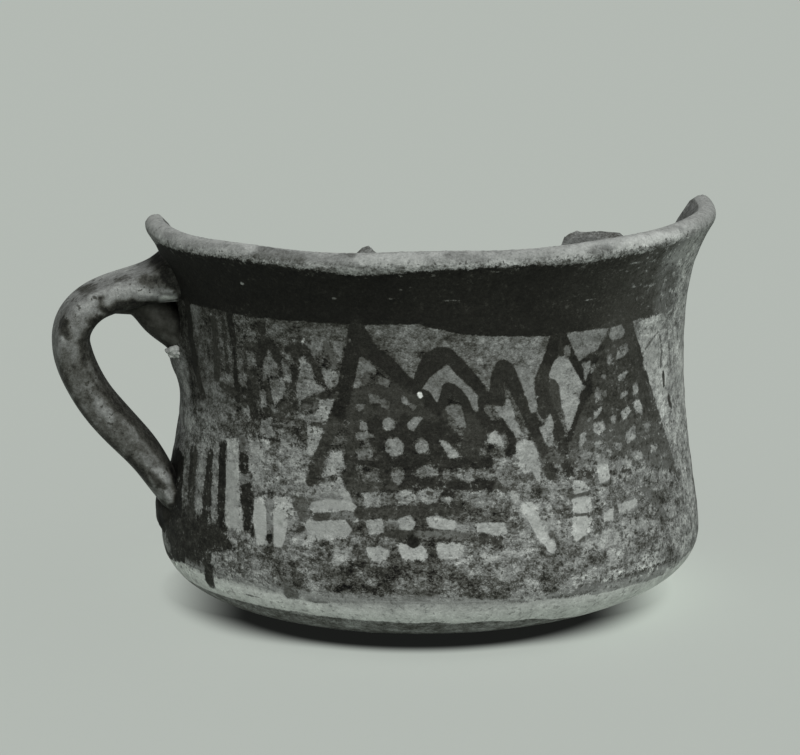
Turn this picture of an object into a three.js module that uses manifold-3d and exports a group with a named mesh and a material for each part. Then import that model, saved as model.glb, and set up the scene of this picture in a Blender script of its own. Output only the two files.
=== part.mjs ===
// A hand-made pottery cup with one strap handle and a broken rim.
// Millimetres, +Z up. The cup rests on z = 0 with its axis on Z, and the handle points to -X.
// The back of the rim is lost, so the wall ends there in a jagged fracture.

import * as THREE from 'three';
import { mergeVertices } from 'three/addons/utils/BufferGeometryUtils.js';
import Module from 'manifold-3d';

// Driving sizes of the vessel's outside
const baseRadius = 27;
const bellyRadius = 54;
const bellyHeight = 14.4;
const waistRadius = 50.4;
const waistHeight = 50;
const lipRadius = 56.3;
const rimHeight = 78.2;
const lipFlareDegrees = 32;

// Clay thicknesses
const lipThickness = 4.2;
const waistThickness = 4.6;
const bellyThickness = 5;
const floorThickness = 6;
const innerCornerRadius = 15;

// Fullness of the curves: exponents of the superelliptic underside, and how far each bend of
// the wall leads on before it turns, as a share of its stretch of wall
const undersideSpread = 1.8;
const undersideDepth = 2.6;
const bellyLead = 0.12;
const waistLead = 0.45;
const neckLead = 0.52;
const lipLead = 0.3;

// Unevenness left by the maker's hands: the slope of the rim, and the foot off its centre
const rimSlope = 0.022;
const footShift = -3;

// The fracture, walked round the back from the right rim end to the left one. Each corner is
// an angle in degrees from +X towards +Y, and how far below the rim the wall breaks off.
const fractureCorners = [
  [4.4, -5.8], [6, -0.6], [7.6, 2.2], [8.8, 6.7], [14, 12.2], [24, 16.2], [34, 17],
  [36.4, 13.8], [40, 11.7], [53.2, 12.8], [54.8, 16.8], [60, 21.2], [72, 23.2],
  [83, 21.4], [91, 24.7], [101, 20.4], [104, 17.2], [106.5, 17.4], [110, 20.8],
  [119, 25.2], [131, 29.2], [141, 30.7], [151, 26.2], [163, 20.7], [172, 17.2],
  [178, 12.2], [181, 7.2], [183.5, 2.8], [185.6, 1], [187, -5.8],
];
const fractureBevel = 1.2;

// The strap handle: its section, and its middle line from the upper root to the lower one.
// The first corners give how far the line stands off the waist and how far it lies below the
// upper root. The last corners give how far it stands off the belly and lies above the lower root.
const handleDegrees = 190;
const strapWidth = 15.6;
const strapThickness = 7.6;
const strapSquareness = 2.6;
const upperRootDrop = 13.6;
const lowerRootRise = 5.1;
const strapFromUpperRoot = [[-2.3, -1], [4.6, 0], [11.7, 1.8], [17.3, 4.2], [20.5, 8.1], [21.1, 12]];
const strapToLowerRoot = [[13.8, 23.1], [4.1, 11.2], [0.4, 5.6], [-3.3, 0]];

// The strap spreads at its upper root, thins where the fingers bent it over the crown, and
// its tail is pressed thin. Places and lengths are shares of the strap's length.
const rootSpread = 0.2;
const rootSpreadLength = 0.22;
const crownPinch = 0.12;
const crownPlace = 0.37;
const crownLength = 0.13;
const tailTaper = 0.3;
const tailTaperLength = 0.2;

// The wad packed under the strap at the upper root. Its middle line gives how far it stands
// off the waist and how far it lies below the strap.
const wadWidth = 12;
const wadThickness = 8;
const wadTaper = 0.3;
const wadLine = [[8.2, -1.6], [3.7, 3.4], [0.2, 6.1], [-2.6, 9.4]];

// The pad smeared over the strap's tail, and the plaster of an old repair below the wad
const padSize = new THREE.Vector3(5.2, 13, 10.4);
const padSink = 1.2;
const padDrop = 0.9;
const plasterSize = new THREE.Vector3(4.6, 7, 3.8);
const plasterDrop = 10.3;
const plasterDegrees = 193;

// Pieces that seat on each other keep this gap
const seatGap = 0.3;

// Fineness of the curved surfaces
const latheSides = 84;
const undersideSteps = 9;
const outerWallSteps = 9;
const lipSteps = 7;
const innerWallSteps = 6;
const strapSteps = 44;
const strapSides = 20;
const wadSteps = 14;
const wadSides = 16;
const lumpSides = 20;

// Heights that follow from the sizes above
const upperRootHeight = rimHeight - upperRootDrop;
const lowerRootHeight = bellyHeight + lowerRootRise;
const strapUndersideHeight = upperRootHeight - strapThickness / 2;

const paintedClay = new THREE.MeshStandardMaterial({ color: 0x9c9e98, roughness: 0.85, metalness: 0 });
const strapClay = new THREE.MeshStandardMaterial({ color: 0x5c5e58, roughness: 0.8, metalness: 0 });
const lutingClay = new THREE.MeshStandardMaterial({ color: 0x454640, roughness: 0.85, metalness: 0 });
const plaster = new THREE.MeshStandardMaterial({ color: 0xbfc1bb, roughness: 0.95, metalness: 0 });

const wasm = await Module();
wasm.setup();

function solidFrom(geometry) {
  const bare = geometry.clone();
  bare.deleteAttribute('normal');
  bare.deleteAttribute('uv');
  const merged = mergeVertices(bare, 1e-4);
  const mesh = new wasm.Mesh({
    numProp: 3,
    vertProperties: new Float32Array(merged.attributes.position.array),
    triVerts: new Uint32Array(merged.index.array),
  });
  return new wasm.Manifold(mesh);
}

function meshFrom(solid, name, material) {
  const made = solid.getMesh();
  const geometry = new THREE.BufferGeometry();
  geometry.setAttribute('position', new THREE.BufferAttribute(made.vertProperties, made.numProp));
  geometry.setIndex(new THREE.BufferAttribute(made.triVerts, 1));
  geometry.computeVertexNormals();
  const mesh = new THREE.Mesh(geometry, material);
  mesh.name = name;
  return mesh;
}

// The lip leans outward: along runs up the flaring wall, and across runs into the cup.
function lipFrame() {
  const flare = THREE.MathUtils.degToRad(lipFlareDegrees);
  const half = lipThickness / 2;
  const along = new THREE.Vector2(Math.sin(flare), Math.cos(flare));
  const across = new THREE.Vector2(-Math.cos(flare), Math.sin(flare));
  const centre = new THREE.Vector2(lipRadius - half, rimHeight - half);
  const outerStart = centre.clone().addScaledVector(across, -half);
  const innerEnd = centre.clone().addScaledVector(across, half);
  return { half, along, across, centre, outerStart, innerEnd };
}

// A superellipse from the edge of the flat base out to the belly
function undersideProfile() {
  const points = [];
  for (let i = 0; i <= undersideSteps; i += 1) {
    const angle = (i / undersideSteps) * (Math.PI / 2);
    points.push(new THREE.Vector2(
      baseRadius + (bellyRadius - baseRadius) * Math.sin(angle) ** (2 / undersideSpread),
      bellyHeight * (1 - Math.cos(angle) ** (2 / undersideDepth)),
    ));
  }
  return points;
}

// From the base up to the start of the rounded lip. Grow holds it off the true surface.
function outsideProfile(grow) {
  const lip = lipFrame();
  const waist = new THREE.Vector2(waistRadius, waistHeight);
  const rise = waistHeight - bellyHeight;
  const climb = lip.outerStart.y - waistHeight;
  const lowerWall = new THREE.CubicBezierCurve(
    new THREE.Vector2(bellyRadius, bellyHeight),
    new THREE.Vector2(bellyRadius, bellyHeight + rise * bellyLead),
    new THREE.Vector2(waistRadius, waistHeight - rise * waistLead),
    waist,
  );
  const upperWall = new THREE.CubicBezierCurve(
    waist,
    new THREE.Vector2(waistRadius, waistHeight + climb * neckLead),
    lip.outerStart.clone().addScaledVector(lip.along, -climb * lipLead),
    lip.outerStart,
  );
  const underside = undersideProfile().map((point) => {
    const share = point.y / bellyHeight;
    return new THREE.Vector2(point.x + grow * share, point.y - grow * (1 - share));
  });
  const wall = [lowerWall, upperWall].flatMap((curve) => curve.getPoints(outerWallSteps).slice(1));
  return [...underside, ...wall.map((point) => new THREE.Vector2(point.x + grow, point.y))];
}

function lipProfile() {
  const lip = lipFrame();
  const points = [];
  for (let i = 1; i <= lipSteps; i += 1) {
    const angle = (i / lipSteps) * Math.PI;
    const point = lip.centre.clone();
    point.addScaledVector(lip.across, -lip.half * Math.cos(angle));
    point.addScaledVector(lip.along, lip.half * Math.sin(angle));
    points.push(point);
  }
  return points;
}

// From the lip down the inside, round the corner and in to the middle of the floor
function insideProfile() {
  const lip = lipFrame();
  const waist = new THREE.Vector2(waistRadius - waistThickness, waistHeight);
  const belly = new THREE.Vector2(bellyRadius - bellyThickness, floorThickness + innerCornerRadius);
  const drop = lip.innerEnd.y - waistHeight;
  const fall = waistHeight - belly.y;
  const upperWall = new THREE.CubicBezierCurve(
    lip.innerEnd,
    lip.innerEnd.clone().addScaledVector(lip.along, -drop * lipLead),
    new THREE.Vector2(waist.x, waistHeight + drop * neckLead),
    waist,
  );
  const lowerWall = new THREE.CubicBezierCurve(
    waist,
    new THREE.Vector2(waist.x, waistHeight - fall * waistLead),
    new THREE.Vector2(belly.x, belly.y + fall * bellyLead),
    belly,
  );
  const corner = new THREE.EllipseCurve(
    belly.x - innerCornerRadius,
    belly.y,
    innerCornerRadius,
    innerCornerRadius,
    0,
    -Math.PI / 2,
    true,
  );
  const walls = [upperWall, lowerWall, corner];
  const points = walls.flatMap((curve) => curve.getPoints(innerWallSteps).slice(1));
  return [...points, new THREE.Vector2(0, floorThickness)];
}

// Turns a profile about the cup's axis, then moves it off the true circle as the maker did:
// the foot sits towards the handle, and the rim climbs away from it.
function turned(profile) {
  const geometry = new THREE.LatheGeometry(profile, latheSides);
  geometry.rotateX(Math.PI / 2);
  const place = geometry.attributes.position;
  for (let i = 0; i < place.count; i += 1) {
    const x = place.getX(i);
    const z = place.getZ(i);
    const belowBelly = THREE.MathUtils.clamp(1 - z / bellyHeight, 0, 1);
    const nearRim = THREE.MathUtils.smoothstep(z, waistHeight, rimHeight);
    place.setX(i, x + footShift * belowBelly ** 2);
    place.setZ(i, z + rimSlope * x * nearRim);
  }
  return solidFrom(geometry);
}

// The air over the fracture line, reaching past the wall on both sides. Its underside slopes,
// so that the broken clay shows as a slanted face.
function lostRim() {
  const innerReach = waistRadius - waistThickness * 2;
  const outerReach = lipRadius + lipThickness;
  const airTop = rimHeight * 1.2;
  const positions = [];
  for (const [degrees, drop] of fractureCorners) {
    const angle = THREE.MathUtils.degToRad(degrees);
    const corners = [
      [innerReach, rimHeight - drop - fractureBevel],
      [outerReach, rimHeight - drop + fractureBevel],
      [outerReach, airTop],
      [innerReach, airTop],
    ];
    for (const [reach, z] of corners) {
      positions.push(reach * Math.cos(angle), reach * Math.sin(angle), z);
    }
  }
  const sides = 4;
  const end = (fractureCorners.length - 1) * sides;
  const index = [0, 1, 2, 0, 2, 3, end, end + 2, end + 1, end, end + 3, end + 2];
  for (let ring = 0; ring < end; ring += sides) {
    for (let side = 0; side < sides; side += 1) {
      const a = ring + side;
      const b = ring + ((side + 1) % sides);
      index.push(a, a + sides, b, b, a + sides, b + sides);
    }
  }
  const geometry = new THREE.BufferGeometry();
  geometry.setAttribute('position', new THREE.Float32BufferAttribute(positions, 3));
  geometry.setIndex(index);
  return solidFrom(geometry);
}

// A closed bar along a line in the handle's plane. Its section is a rounded oblong whose half
// width and half thickness come from sizeAt(t), with t the share of the line's length.
function pulledBar(line, sizeAt, steps, sides) {
  const positions = [];
  const power = 2 / strapSquareness;
  for (let i = 0; i <= steps; i += 1) {
    const t = i / steps;
    const centre = line.getPointAt(t);
    const ahead = line.getTangentAt(t);
    const half = sizeAt(t);
    for (let k = 0; k < sides; k += 1) {
      const c = Math.cos((k / sides) * Math.PI * 2);
      const s = Math.sin((k / sides) * Math.PI * 2);
      const lift = half.thickness * Math.sign(c) * Math.abs(c) ** power;
      const aside = half.width * Math.sign(s) * Math.abs(s) ** power;
      positions.push(centre.x - ahead.y * lift, aside, centre.y + ahead.x * lift);
    }
  }
  const start = line.getPointAt(0);
  const finish = line.getPointAt(1);
  const startCentre = positions.length / 3;
  const finishCentre = startCentre + 1;
  positions.push(start.x, 0, start.y, finish.x, 0, finish.y);
  const index = [];
  for (let k = 0; k < sides; k += 1) {
    const next = (k + 1) % sides;
    for (let ring = 0; ring < steps * sides; ring += sides) {
      const a = ring + k;
      const b = ring + next;
      index.push(a, a + sides, b, b, a + sides, b + sides);
    }
    index.push(startCentre, k, next);
    index.push(finishCentre, steps * sides + next, steps * sides + k);
  }
  const geometry = new THREE.BufferGeometry();
  geometry.setAttribute('position', new THREE.Float32BufferAttribute(positions, 3));
  geometry.setIndex(index);
  geometry.rotateZ(THREE.MathUtils.degToRad(handleDegrees));
  return solidFrom(geometry);
}

function handleBar(grow) {
  const upper = strapFromUpperRoot.map(([stand, drop]) => (
    new THREE.Vector2(waistRadius + stand, upperRootHeight - drop)
  ));
  const lower = strapToLowerRoot.map(([stand, rise]) => (
    new THREE.Vector2(bellyRadius + stand, lowerRootHeight + rise)
  ));
  const sizeAt = (t) => {
    const spread = 1 + rootSpread * Math.max(0, 1 - t / rootSpreadLength) ** 2;
    const pinch = 1 - crownPinch * Math.max(0, 1 - Math.abs(t - crownPlace) / crownLength);
    const tail = 1 - tailTaper * Math.max(0, 1 - (1 - t) / tailTaperLength);
    return {
      width: (strapWidth / 2) * spread + grow,
      thickness: (strapThickness / 2) * spread * pinch * tail + grow,
    };
  };
  return pulledBar(new THREE.SplineCurve([...upper, ...lower]), sizeAt, strapSteps, strapSides);
}

function wadBar(grow) {
  const points = wadLine.map(([stand, drop]) => (
    new THREE.Vector2(waistRadius + stand, strapUndersideHeight - drop)
  ));
  const sizeAt = (t) => ({
    width: (wadWidth / 2) * (1 - wadTaper * t) + grow,
    thickness: wadThickness / 2 + grow,
  });
  return pulledBar(new THREE.SplineCurve(points), sizeAt, wadSteps, wadSides);
}

// A lump of clay or plaster pressed on the wall at one side of the cup
function pressedLump(size, reach, height, degrees) {
  const geometry = new THREE.SphereGeometry(0.5, lumpSides, lumpSides / 2);
  geometry.scale(size.x, size.y, size.z);
  geometry.translate(reach, 0, height);
  geometry.rotateZ(THREE.MathUtils.degToRad(degrees));
  return solidFrom(geometry);
}

function vesselBody() {
  const middle = new THREE.Vector2(0, 0);
  const profile = [middle, ...outsideProfile(0), ...lipProfile(), ...insideProfile()];
  return turned(profile).subtract(lostRim());
}

// The cup's outside as a filled body, one seat gap larger. It trims all that sits on the wall.
function wallTrim() {
  const profile = outsideProfile(seatGap);
  const bottom = new THREE.Vector2(0, profile[0].y);
  const top = new THREE.Vector2(0, profile[profile.length - 1].y);
  return turned([bottom, ...profile, top]);
}

function lowerPad() {
  return pressedLump(padSize, bellyRadius - padSink, lowerRootHeight - padDrop, handleDegrees);
}

function plasterLump() {
  const height = strapUndersideHeight - plasterDrop;
  return pressedLump(plasterSize, waistRadius + seatGap, height, plasterDegrees);
}

const wall = wallTrim();
const strap = handleBar(seatGap);
const wad = wadBar(seatGap);

const group = new THREE.Group();
group.add(meshFrom(vesselBody(), 'vessel_body', paintedClay));
group.add(meshFrom(handleBar(0).subtract(wall), 'handle_strap', strapClay));
group.add(meshFrom(wadBar(0).subtract(wall).subtract(strap), 'upper_root_clay', lutingClay));
group.add(meshFrom(lowerPad().subtract(wall).subtract(strap), 'lower_root_clay', lutingClay));
group.add(meshFrom(plasterLump().subtract(wall).subtract(wad), 'plaster_fill', plaster));

export default group;
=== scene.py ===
# %% [markdown]
# # A painted clay cup with a strap handle and a broken rim
#
# The cup was turned from brown clay, given one pulled strap handle and painted with a dark band
# and a free geometric pattern. Its rim is lost at the back. Its plain solids are the frame here,
# and each is dressed with a finer mesh of the same form. Lengths are millimetres, turned to
# Blender's metres as each mesh is made.

# %% Load the solids
import math

import bpy
import numpy as np
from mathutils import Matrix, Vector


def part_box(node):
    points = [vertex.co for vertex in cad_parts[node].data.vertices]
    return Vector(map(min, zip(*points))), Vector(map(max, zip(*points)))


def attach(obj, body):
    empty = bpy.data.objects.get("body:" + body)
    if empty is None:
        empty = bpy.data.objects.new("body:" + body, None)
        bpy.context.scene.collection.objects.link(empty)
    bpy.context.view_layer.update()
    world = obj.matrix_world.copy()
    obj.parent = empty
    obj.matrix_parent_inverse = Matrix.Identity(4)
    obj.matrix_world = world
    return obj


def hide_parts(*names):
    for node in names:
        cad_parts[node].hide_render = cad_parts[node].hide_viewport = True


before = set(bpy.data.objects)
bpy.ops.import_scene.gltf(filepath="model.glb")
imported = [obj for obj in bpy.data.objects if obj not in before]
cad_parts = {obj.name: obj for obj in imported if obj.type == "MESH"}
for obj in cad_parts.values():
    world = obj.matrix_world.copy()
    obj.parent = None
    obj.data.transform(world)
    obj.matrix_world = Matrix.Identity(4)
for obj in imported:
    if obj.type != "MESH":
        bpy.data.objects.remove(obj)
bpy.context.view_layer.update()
MM = 0.001
print("solids:", sorted(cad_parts))

# %% [markdown]
# ## The camera
#
# The photograph looks down on the cup a little, from straight in front. A camera could be set by
# eye in the viewport. Here it is worked out in pixels, because the same numbers later turn a
# pixel into a place on the wall. A long lens from 70 cm off keeps the sides of the rim nearly
# level.

# %% Camera
PHOTO_WIDTH = 800
PHOTO_HEIGHT = 755
FOCAL_PIXELS = 3500.0
SENSOR_WIDTH = 36.0
VIEW_DISTANCE = 700.0
VIEW_PITCH = math.radians(12.27)
VIEW_TARGET = np.array([-6.03, 0.0, 43.12])

view_forward = np.array([0.0, math.cos(VIEW_PITCH), -math.sin(VIEW_PITCH)])
view_up = np.array([0.0, math.sin(VIEW_PITCH), math.cos(VIEW_PITCH)])
view_right = np.array([1.0, 0.0, 0.0])
eye = VIEW_TARGET - VIEW_DISTANCE * view_forward

camera_data = bpy.data.cameras.new("photo_camera")
camera_data.sensor_width = SENSOR_WIDTH
camera_data.lens = FOCAL_PIXELS / PHOTO_WIDTH * SENSOR_WIDTH
camera = bpy.data.objects.new("photo_camera", camera_data)
camera.location = eye * MM
camera.rotation_euler = (math.pi / 2 - VIEW_PITCH, 0, 0)
bpy.context.scene.collection.objects.link(camera)
bpy.context.scene.camera = camera
print("lens", round(camera_data.lens, 1), "mm")

# %% [markdown]
# ## Curves
#
# Every outline of the cup is a smooth curve through a few places. Blender has curve objects for
# that, but a mesh built row by row needs the places as numbers. A Bezier curve serves for the
# wall, and a Catmull-Rom spline, which passes through its points, for the handle.


# %% Curve helpers
def bezier(start, lead_out, lead_in, end, count=60):
    """Points along a cubic Bezier curve."""
    t = np.linspace(0, 1, count)[:, None]
    s = 1 - t
    points = [np.asarray(p, float) for p in (start, lead_out, lead_in, end)]
    return s**3 * points[0] + 3 * s * s * t * points[1] + 3 * s * t * t * points[2] + t**3 * points[3]


def spline(points, count=40):
    """Points along a Catmull-Rom spline that passes through each given point."""
    p = np.asarray(points, float)
    p = np.vstack([p[:1], p, p[-1:]])
    t = np.linspace(0, 1, count, endpoint=False)[:, None]
    parts = []
    for a, b, c, d in zip(p, p[1:], p[2:], p[3:]):
        out, into = (c - a) / 2, (d - b) / 2
        cubic = 2 * b - 2 * c + out + into
        square = 3 * c - 3 * b - 2 * out - into
        parts.append(cubic * t**3 + square * t**2 + out * t + b)
    return np.vstack(parts + [p[-1:]])


def run_along(points):
    """How far along a curve each of its points lies."""
    steps = np.linalg.norm(np.diff(points, axis=0), axis=1)
    return np.concatenate([[0], np.cumsum(steps)])


def place_at(points, run, where):
    """The places on a curve that lie the given lengths along it."""
    return np.stack([np.interp(where, run, points[:, k]) for k in range(points.shape[1])], -1)


def smooth(low, high, value):
    """0 below low, 1 above high, and an even bend between them."""
    t = np.clip((np.asarray(value, float) - low) / (high - low), 0, 1)
    return t * t * (3 - 2 * t)


def toward(value, target, share):
    """A value drawn to a target by a share from 0 to 1."""
    return value + (target - value) * share


print("curve helpers: bezier and spline")

# %% [markdown]
# ## The turned wall
#
# A turned pot is one outline swept about an axis. It could be a drawn profile with a Screw
# modifier. Here it stays a list of numbers, because the fracture and the hand's unevenness move
# each point after the turning. It runs from the base over belly, waist and lip and down the
# inside, in the solid's sizes.

# %% The outline of the wall
BASE_RADIUS = 27.0
BELLY_RADIUS = 54.0
BELLY_HEIGHT = 14.4
WAIST_RADIUS = 50.4
WAIST_HEIGHT = 50.0
RIM_HEIGHT = 78.2
LIP_FLARE = math.radians(32)
LIP_THICKNESS = 4.2
WAIST_THICKNESS = 4.6
BELLY_THICKNESS = 5.0
FLOOR_THICKNESS = 6.0
INNER_CORNER = 15.0
UNDERSIDE_SPREAD = 1.8
UNDERSIDE_DEPTH = 2.6
BELLY_LEAD, WAIST_LEAD, NECK_LEAD, LIP_LEAD = 0.12, 0.45, 0.52, 0.3
LIP_CAP_START, LIP_CAP_END = math.radians(100), math.radians(144)
UNDERSIDE_POINTS, LIP_POINTS, INNER_LIP_POINTS, CORNER_POINTS = 120, 24, 12, 24

vessel_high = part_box("vessel_body")[1]
LIP_RADIUS = vessel_high.x / MM

lip_half = LIP_THICKNESS / 2
lip_along = np.array([math.sin(LIP_FLARE), math.cos(LIP_FLARE)])
lip_across = np.array([-math.cos(LIP_FLARE), math.sin(LIP_FLARE)])
lip_centre = np.array([LIP_RADIUS - lip_half, RIM_HEIGHT - lip_half])


def lip_arc(angles):
    """Places on the rounded lip; 0 is its outer start and pi its inner end."""
    c, s = np.cos(angles)[:, None], np.sin(angles)[:, None]
    return lip_centre - lip_across * lip_half * c + lip_along * lip_half * s


def wall_curve(waist, belly, lip_end):
    """One side of the wall, from the belly up to the lip."""
    rise, climb = WAIST_HEIGHT - belly[1], lip_end[1] - WAIST_HEIGHT
    leave_belly = (belly[0], belly[1] + rise * BELLY_LEAD)
    reach_waist = (waist, WAIST_HEIGHT - rise * WAIST_LEAD)
    lower = bezier(belly, leave_belly, reach_waist, (waist, WAIST_HEIGHT))
    leave_waist = (waist, WAIST_HEIGHT + climb * NECK_LEAD)
    reach_lip = lip_end - lip_along * climb * LIP_LEAD
    upper = bezier((waist, WAIST_HEIGHT), leave_waist, reach_lip, lip_end)
    return np.vstack([lower, upper[1:]])


print("lip radius", round(LIP_RADIUS, 2), "mm")

# %% The outline of the outside
bend = np.linspace(0, math.pi / 2, UNDERSIDE_POINTS)
underside = np.stack([
    BASE_RADIUS + (BELLY_RADIUS - BASE_RADIUS) * np.sin(bend) ** (2 / UNDERSIDE_SPREAD),
    BELLY_HEIGHT * (1 - np.cos(bend) ** (2 / UNDERSIDE_DEPTH)),
], -1)
outer_wall = wall_curve(WAIST_RADIUS, (BELLY_RADIUS, BELLY_HEIGHT), lip_arc(np.zeros(1))[0])
outer_lip = lip_arc(np.linspace(0, LIP_CAP_START, LIP_POINTS))
outside = np.vstack([underside, outer_wall[1:], outer_lip[1:]])
outside_run = run_along(outside)
belly_run = np.interp(BELLY_HEIGHT, outside[:, 1], outside_run)
print("outside", round(outside_run[-1], 1), "mm long, belly at", round(belly_run, 1), "mm")

# %% The outline of the inside
inner_belly = (BELLY_RADIUS - BELLY_THICKNESS, FLOOR_THICKNESS + INNER_CORNER)
inner_lip_end = lip_arc(np.full(1, math.pi))[0]
inner_wall = wall_curve(WAIST_RADIUS - WAIST_THICKNESS, inner_belly, inner_lip_end)[::-1]
inner_lip = lip_arc(np.linspace(LIP_CAP_END, math.pi, INNER_LIP_POINTS))
turn = np.linspace(0, math.pi / 2, CORNER_POINTS)[:, None]
corner = np.hstack([
    inner_belly[0] - INNER_CORNER * (1 - np.cos(turn)),
    inner_belly[1] - INNER_CORNER * np.sin(turn),
])
inside = np.vstack([inner_lip, inner_wall[1:], corner[1:]])
inside_run = run_along(inside)
print("inside", round(inside_run[-1], 1), "mm long")

# %% [markdown]
# ## The fracture
#
# The back of the rim broke away long ago, in straight runs with a ragged edge. A Boolean cut
# would leave long thin faces along it. So the line of the break is a list of corners, in degrees
# round the cup and depth below the rim, and the mesh is built up to it. Seeded waves make it
# ragged.

# %% The line of the break
BREAK_CORNERS = [
    (4.4, -5.8), (6, -0.6), (7.6, 2.2), (8.8, 6.7), (14, 12.2), (24, 16.2), (34, 17),
    (36.4, 13.8), (40, 11.7), (53.2, 12.8), (54.8, 16.8), (60, 21.2), (72, 23.2),
    (83, 21.4), (91, 24.7), (101, 20.4), (104, 17.2), (106.5, 17.4), (110, 20.8),
    (119, 25.2), (131, 29.2), (141, 30.7), (151, 26.2), (163, 20.7), (172, 17.2),
    (178, 12.2), (181, 7.2), (183.5, 2.8), (185.6, 1), (187, -5.8),
]
BREAK_SLOPE = 0.124
BREAK_MIDDLE = 50.85
WHOLE_RIM = -5.8
RAGGED = 0.352
RAGGED_WAVES, RAGGED_SLOWEST, RAGGED_FASTEST = 14, 40, 210
dice = np.random.default_rng(61)


def waves(count, low, high, weight):
    """Seeded waves round the cup: their turns, phases and strengths."""
    turns = dice.integers(low, high, count)
    phases = dice.uniform(0, 2 * math.pi, count)
    strengths = weight * dice.uniform(0.4, 1, count) / math.sqrt(count)
    return turns, phases, strengths


ragged_waves = waves(RAGGED_WAVES, RAGGED_SLOWEST, RAGGED_FASTEST, RAGGED)


def round_the_cup(angle, made):
    """The sum of waves at each angle."""
    turns, phases, strengths = made
    return (strengths * np.sin(np.asarray(angle)[..., None] * turns + phases)).sum(-1)


def break_height(angle):
    """How high the broken wall stands at its middle, for angles from +X towards +Y."""
    degrees = np.degrees(angle) % 360
    corners = np.array(BREAK_CORNERS)
    drop = np.interp(degrees, corners[:, 0], corners[:, 1], left=WHOLE_RIM, right=WHOLE_RIM)
    broken = smooth(WHOLE_RIM + 1, 1, drop)
    return RIM_HEIGHT - drop + round_the_cup(angle, ragged_waves) * broken


print("break corners:", len(BREAK_CORNERS))

# %% [markdown]
# ## Made by hand
#
# No wall thrown by hand is a true circle. The foot sits off the middle, the rim climbs away from
# the handle, a thumb pushed the wall in, and fingers left soft rills. Sculpting could make that,
# but not from numbers. One function moves each place on the wall, so outside, inside and lip move
# together.

# %% Places round the cup
FRONT_ANGLE = 1.5 * math.pi
ROUND_RADIUS = WAIST_RADIUS


def turned_from(angle, middle):
    """How far an angle lies from a middle one, at most half a turn either way."""
    return (angle - middle + math.pi) % (2 * math.pi) - math.pi


def round_of(angle):
    """How far round the cup an angle lies from the front, in mm, to the right."""
    return ROUND_RADIUS * turned_from(angle, FRONT_ANGLE)


def press(angle, height, middle, level, width, reach):
    """A soft thumb print: 1 in its middle, fading over an angle and a height."""
    return np.exp(-((turned_from(angle, middle) / width) ** 2) - ((height - level) / reach) ** 2)


print("half way round the cup:", round(round_of(FRONT_ANGLE + math.pi * 0.999), 1), "mm")

# %% Hand-made unevenness
FOOT_SHIFT = -3.0
RIM_SLOPE = 0.022
THUMB_DENT = 1.0
THUMB_PLACE = (math.radians(184), 38.0, 0.3, 13.0)
SMEAR_DEPTH = 2.2
SMEAR_PLACE = (math.radians(189), 50.0, 0.12, 5.5)
PITS = [(-3.9, 23.4, 1.1, 0.8), (-29.5, 24.0, 0.7, 0.5), (56.5, 49.5, 0.6, 0.4)]
RILLS = [(3.1, 0.012, 0.4, 2), (4.7, 0.018, 2.1, 1), (7.3, 0.03, 4.0, 3), (2.3, 0.008, 1.2, 5)]
RILLS_START, RILLS_FADE, RILLS_LOST = (4, 10), (70, 77), 0.7
WOBBLE_START, FLAT_MIDDLE = (2, 30), (8, 24)
wobble_waves = waves(4, 2, 6, 0.22)
rim_waves = waves(5, 3, 11, 0.22)


def rills(angle, height):
    """The soft, drifting rings that fingers leave on the turning wall."""
    total = np.zeros(np.broadcast(angle, height).shape)
    for spacing, depth, phase, drift in RILLS:
        wander = 0.9 * np.sin(angle * drift + phase)
        total = total + depth * np.sin(2 * math.pi * height / spacing + wander + phase)
    return total


def by_hand(radius, height, angle):
    """Where a point of the turned outline lies after the potter's hand, in mm."""
    upper = smooth(WAIST_HEIGHT, RIM_HEIGHT, height)
    on_outside = radius > WAIST_RADIUS - 1
    rills_share = smooth(*RILLS_START, height) * (1 - RILLS_LOST * smooth(*RILLS_FADE, height))
    bulge = round_the_cup(angle, wobble_waves) * smooth(*WOBBLE_START, height)
    bulge = bulge + rills(angle, height) * rills_share
    bulge = bulge - THUMB_DENT * press(angle, height, *THUMB_PLACE)
    bulge = bulge + SMEAR_DEPTH * press(angle, height, *SMEAR_PLACE) * on_outside
    for right, up, size, depth in PITS:
        away = round_of(angle) - right
        pit = depth * np.exp(-(away**2 + (height - up) ** 2) / size**2)
        bulge = bulge - pit * on_outside
    r = radius + bulge * smooth(*FLAT_MIDDLE, radius)
    x = r * np.cos(angle) + FOOT_SHIFT * np.clip(1 - height / BELLY_HEIGHT, 0, 1) ** 2
    y = r * np.sin(angle)
    z = height + RIM_SLOPE * x * upper + round_the_cup(angle, rim_waves) * upper**2
    return np.stack([x, y, z], -1)


print("rills:", len(RILLS), "pits:", len(PITS))

# %% [markdown]
# ## The mesh of the wall
#
# The wall is one skin of clay: outside, lip and inside. A subdivided shell would round off the
# sharp break, so the mesh is a grid made to measure. Its columns stand close together on the
# painted front, and where the wall is broken its upper rows are drawn down to the break.

# %% Columns round the cup
FRONT_START, FRONT_END = 188.0, 352.0
FRONT_STEP, BACK_STEP = 0.5, 1.6

front = np.arange(FRONT_START, FRONT_END, FRONT_STEP)
back_count = round((360 - (FRONT_END - FRONT_START)) / BACK_STEP)
back = np.linspace(front[-1] + FRONT_STEP, 360 + FRONT_START, back_count, endpoint=False)
angles = np.radians(np.concatenate([front, back]))
columns = len(angles)
tilt = RIM_SLOPE * WAIST_RADIUS * np.cos(angles) * smooth(WAIST_HEIGHT, RIM_HEIGHT, break_height(angles))
cut = break_height(angles) - tilt


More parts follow.
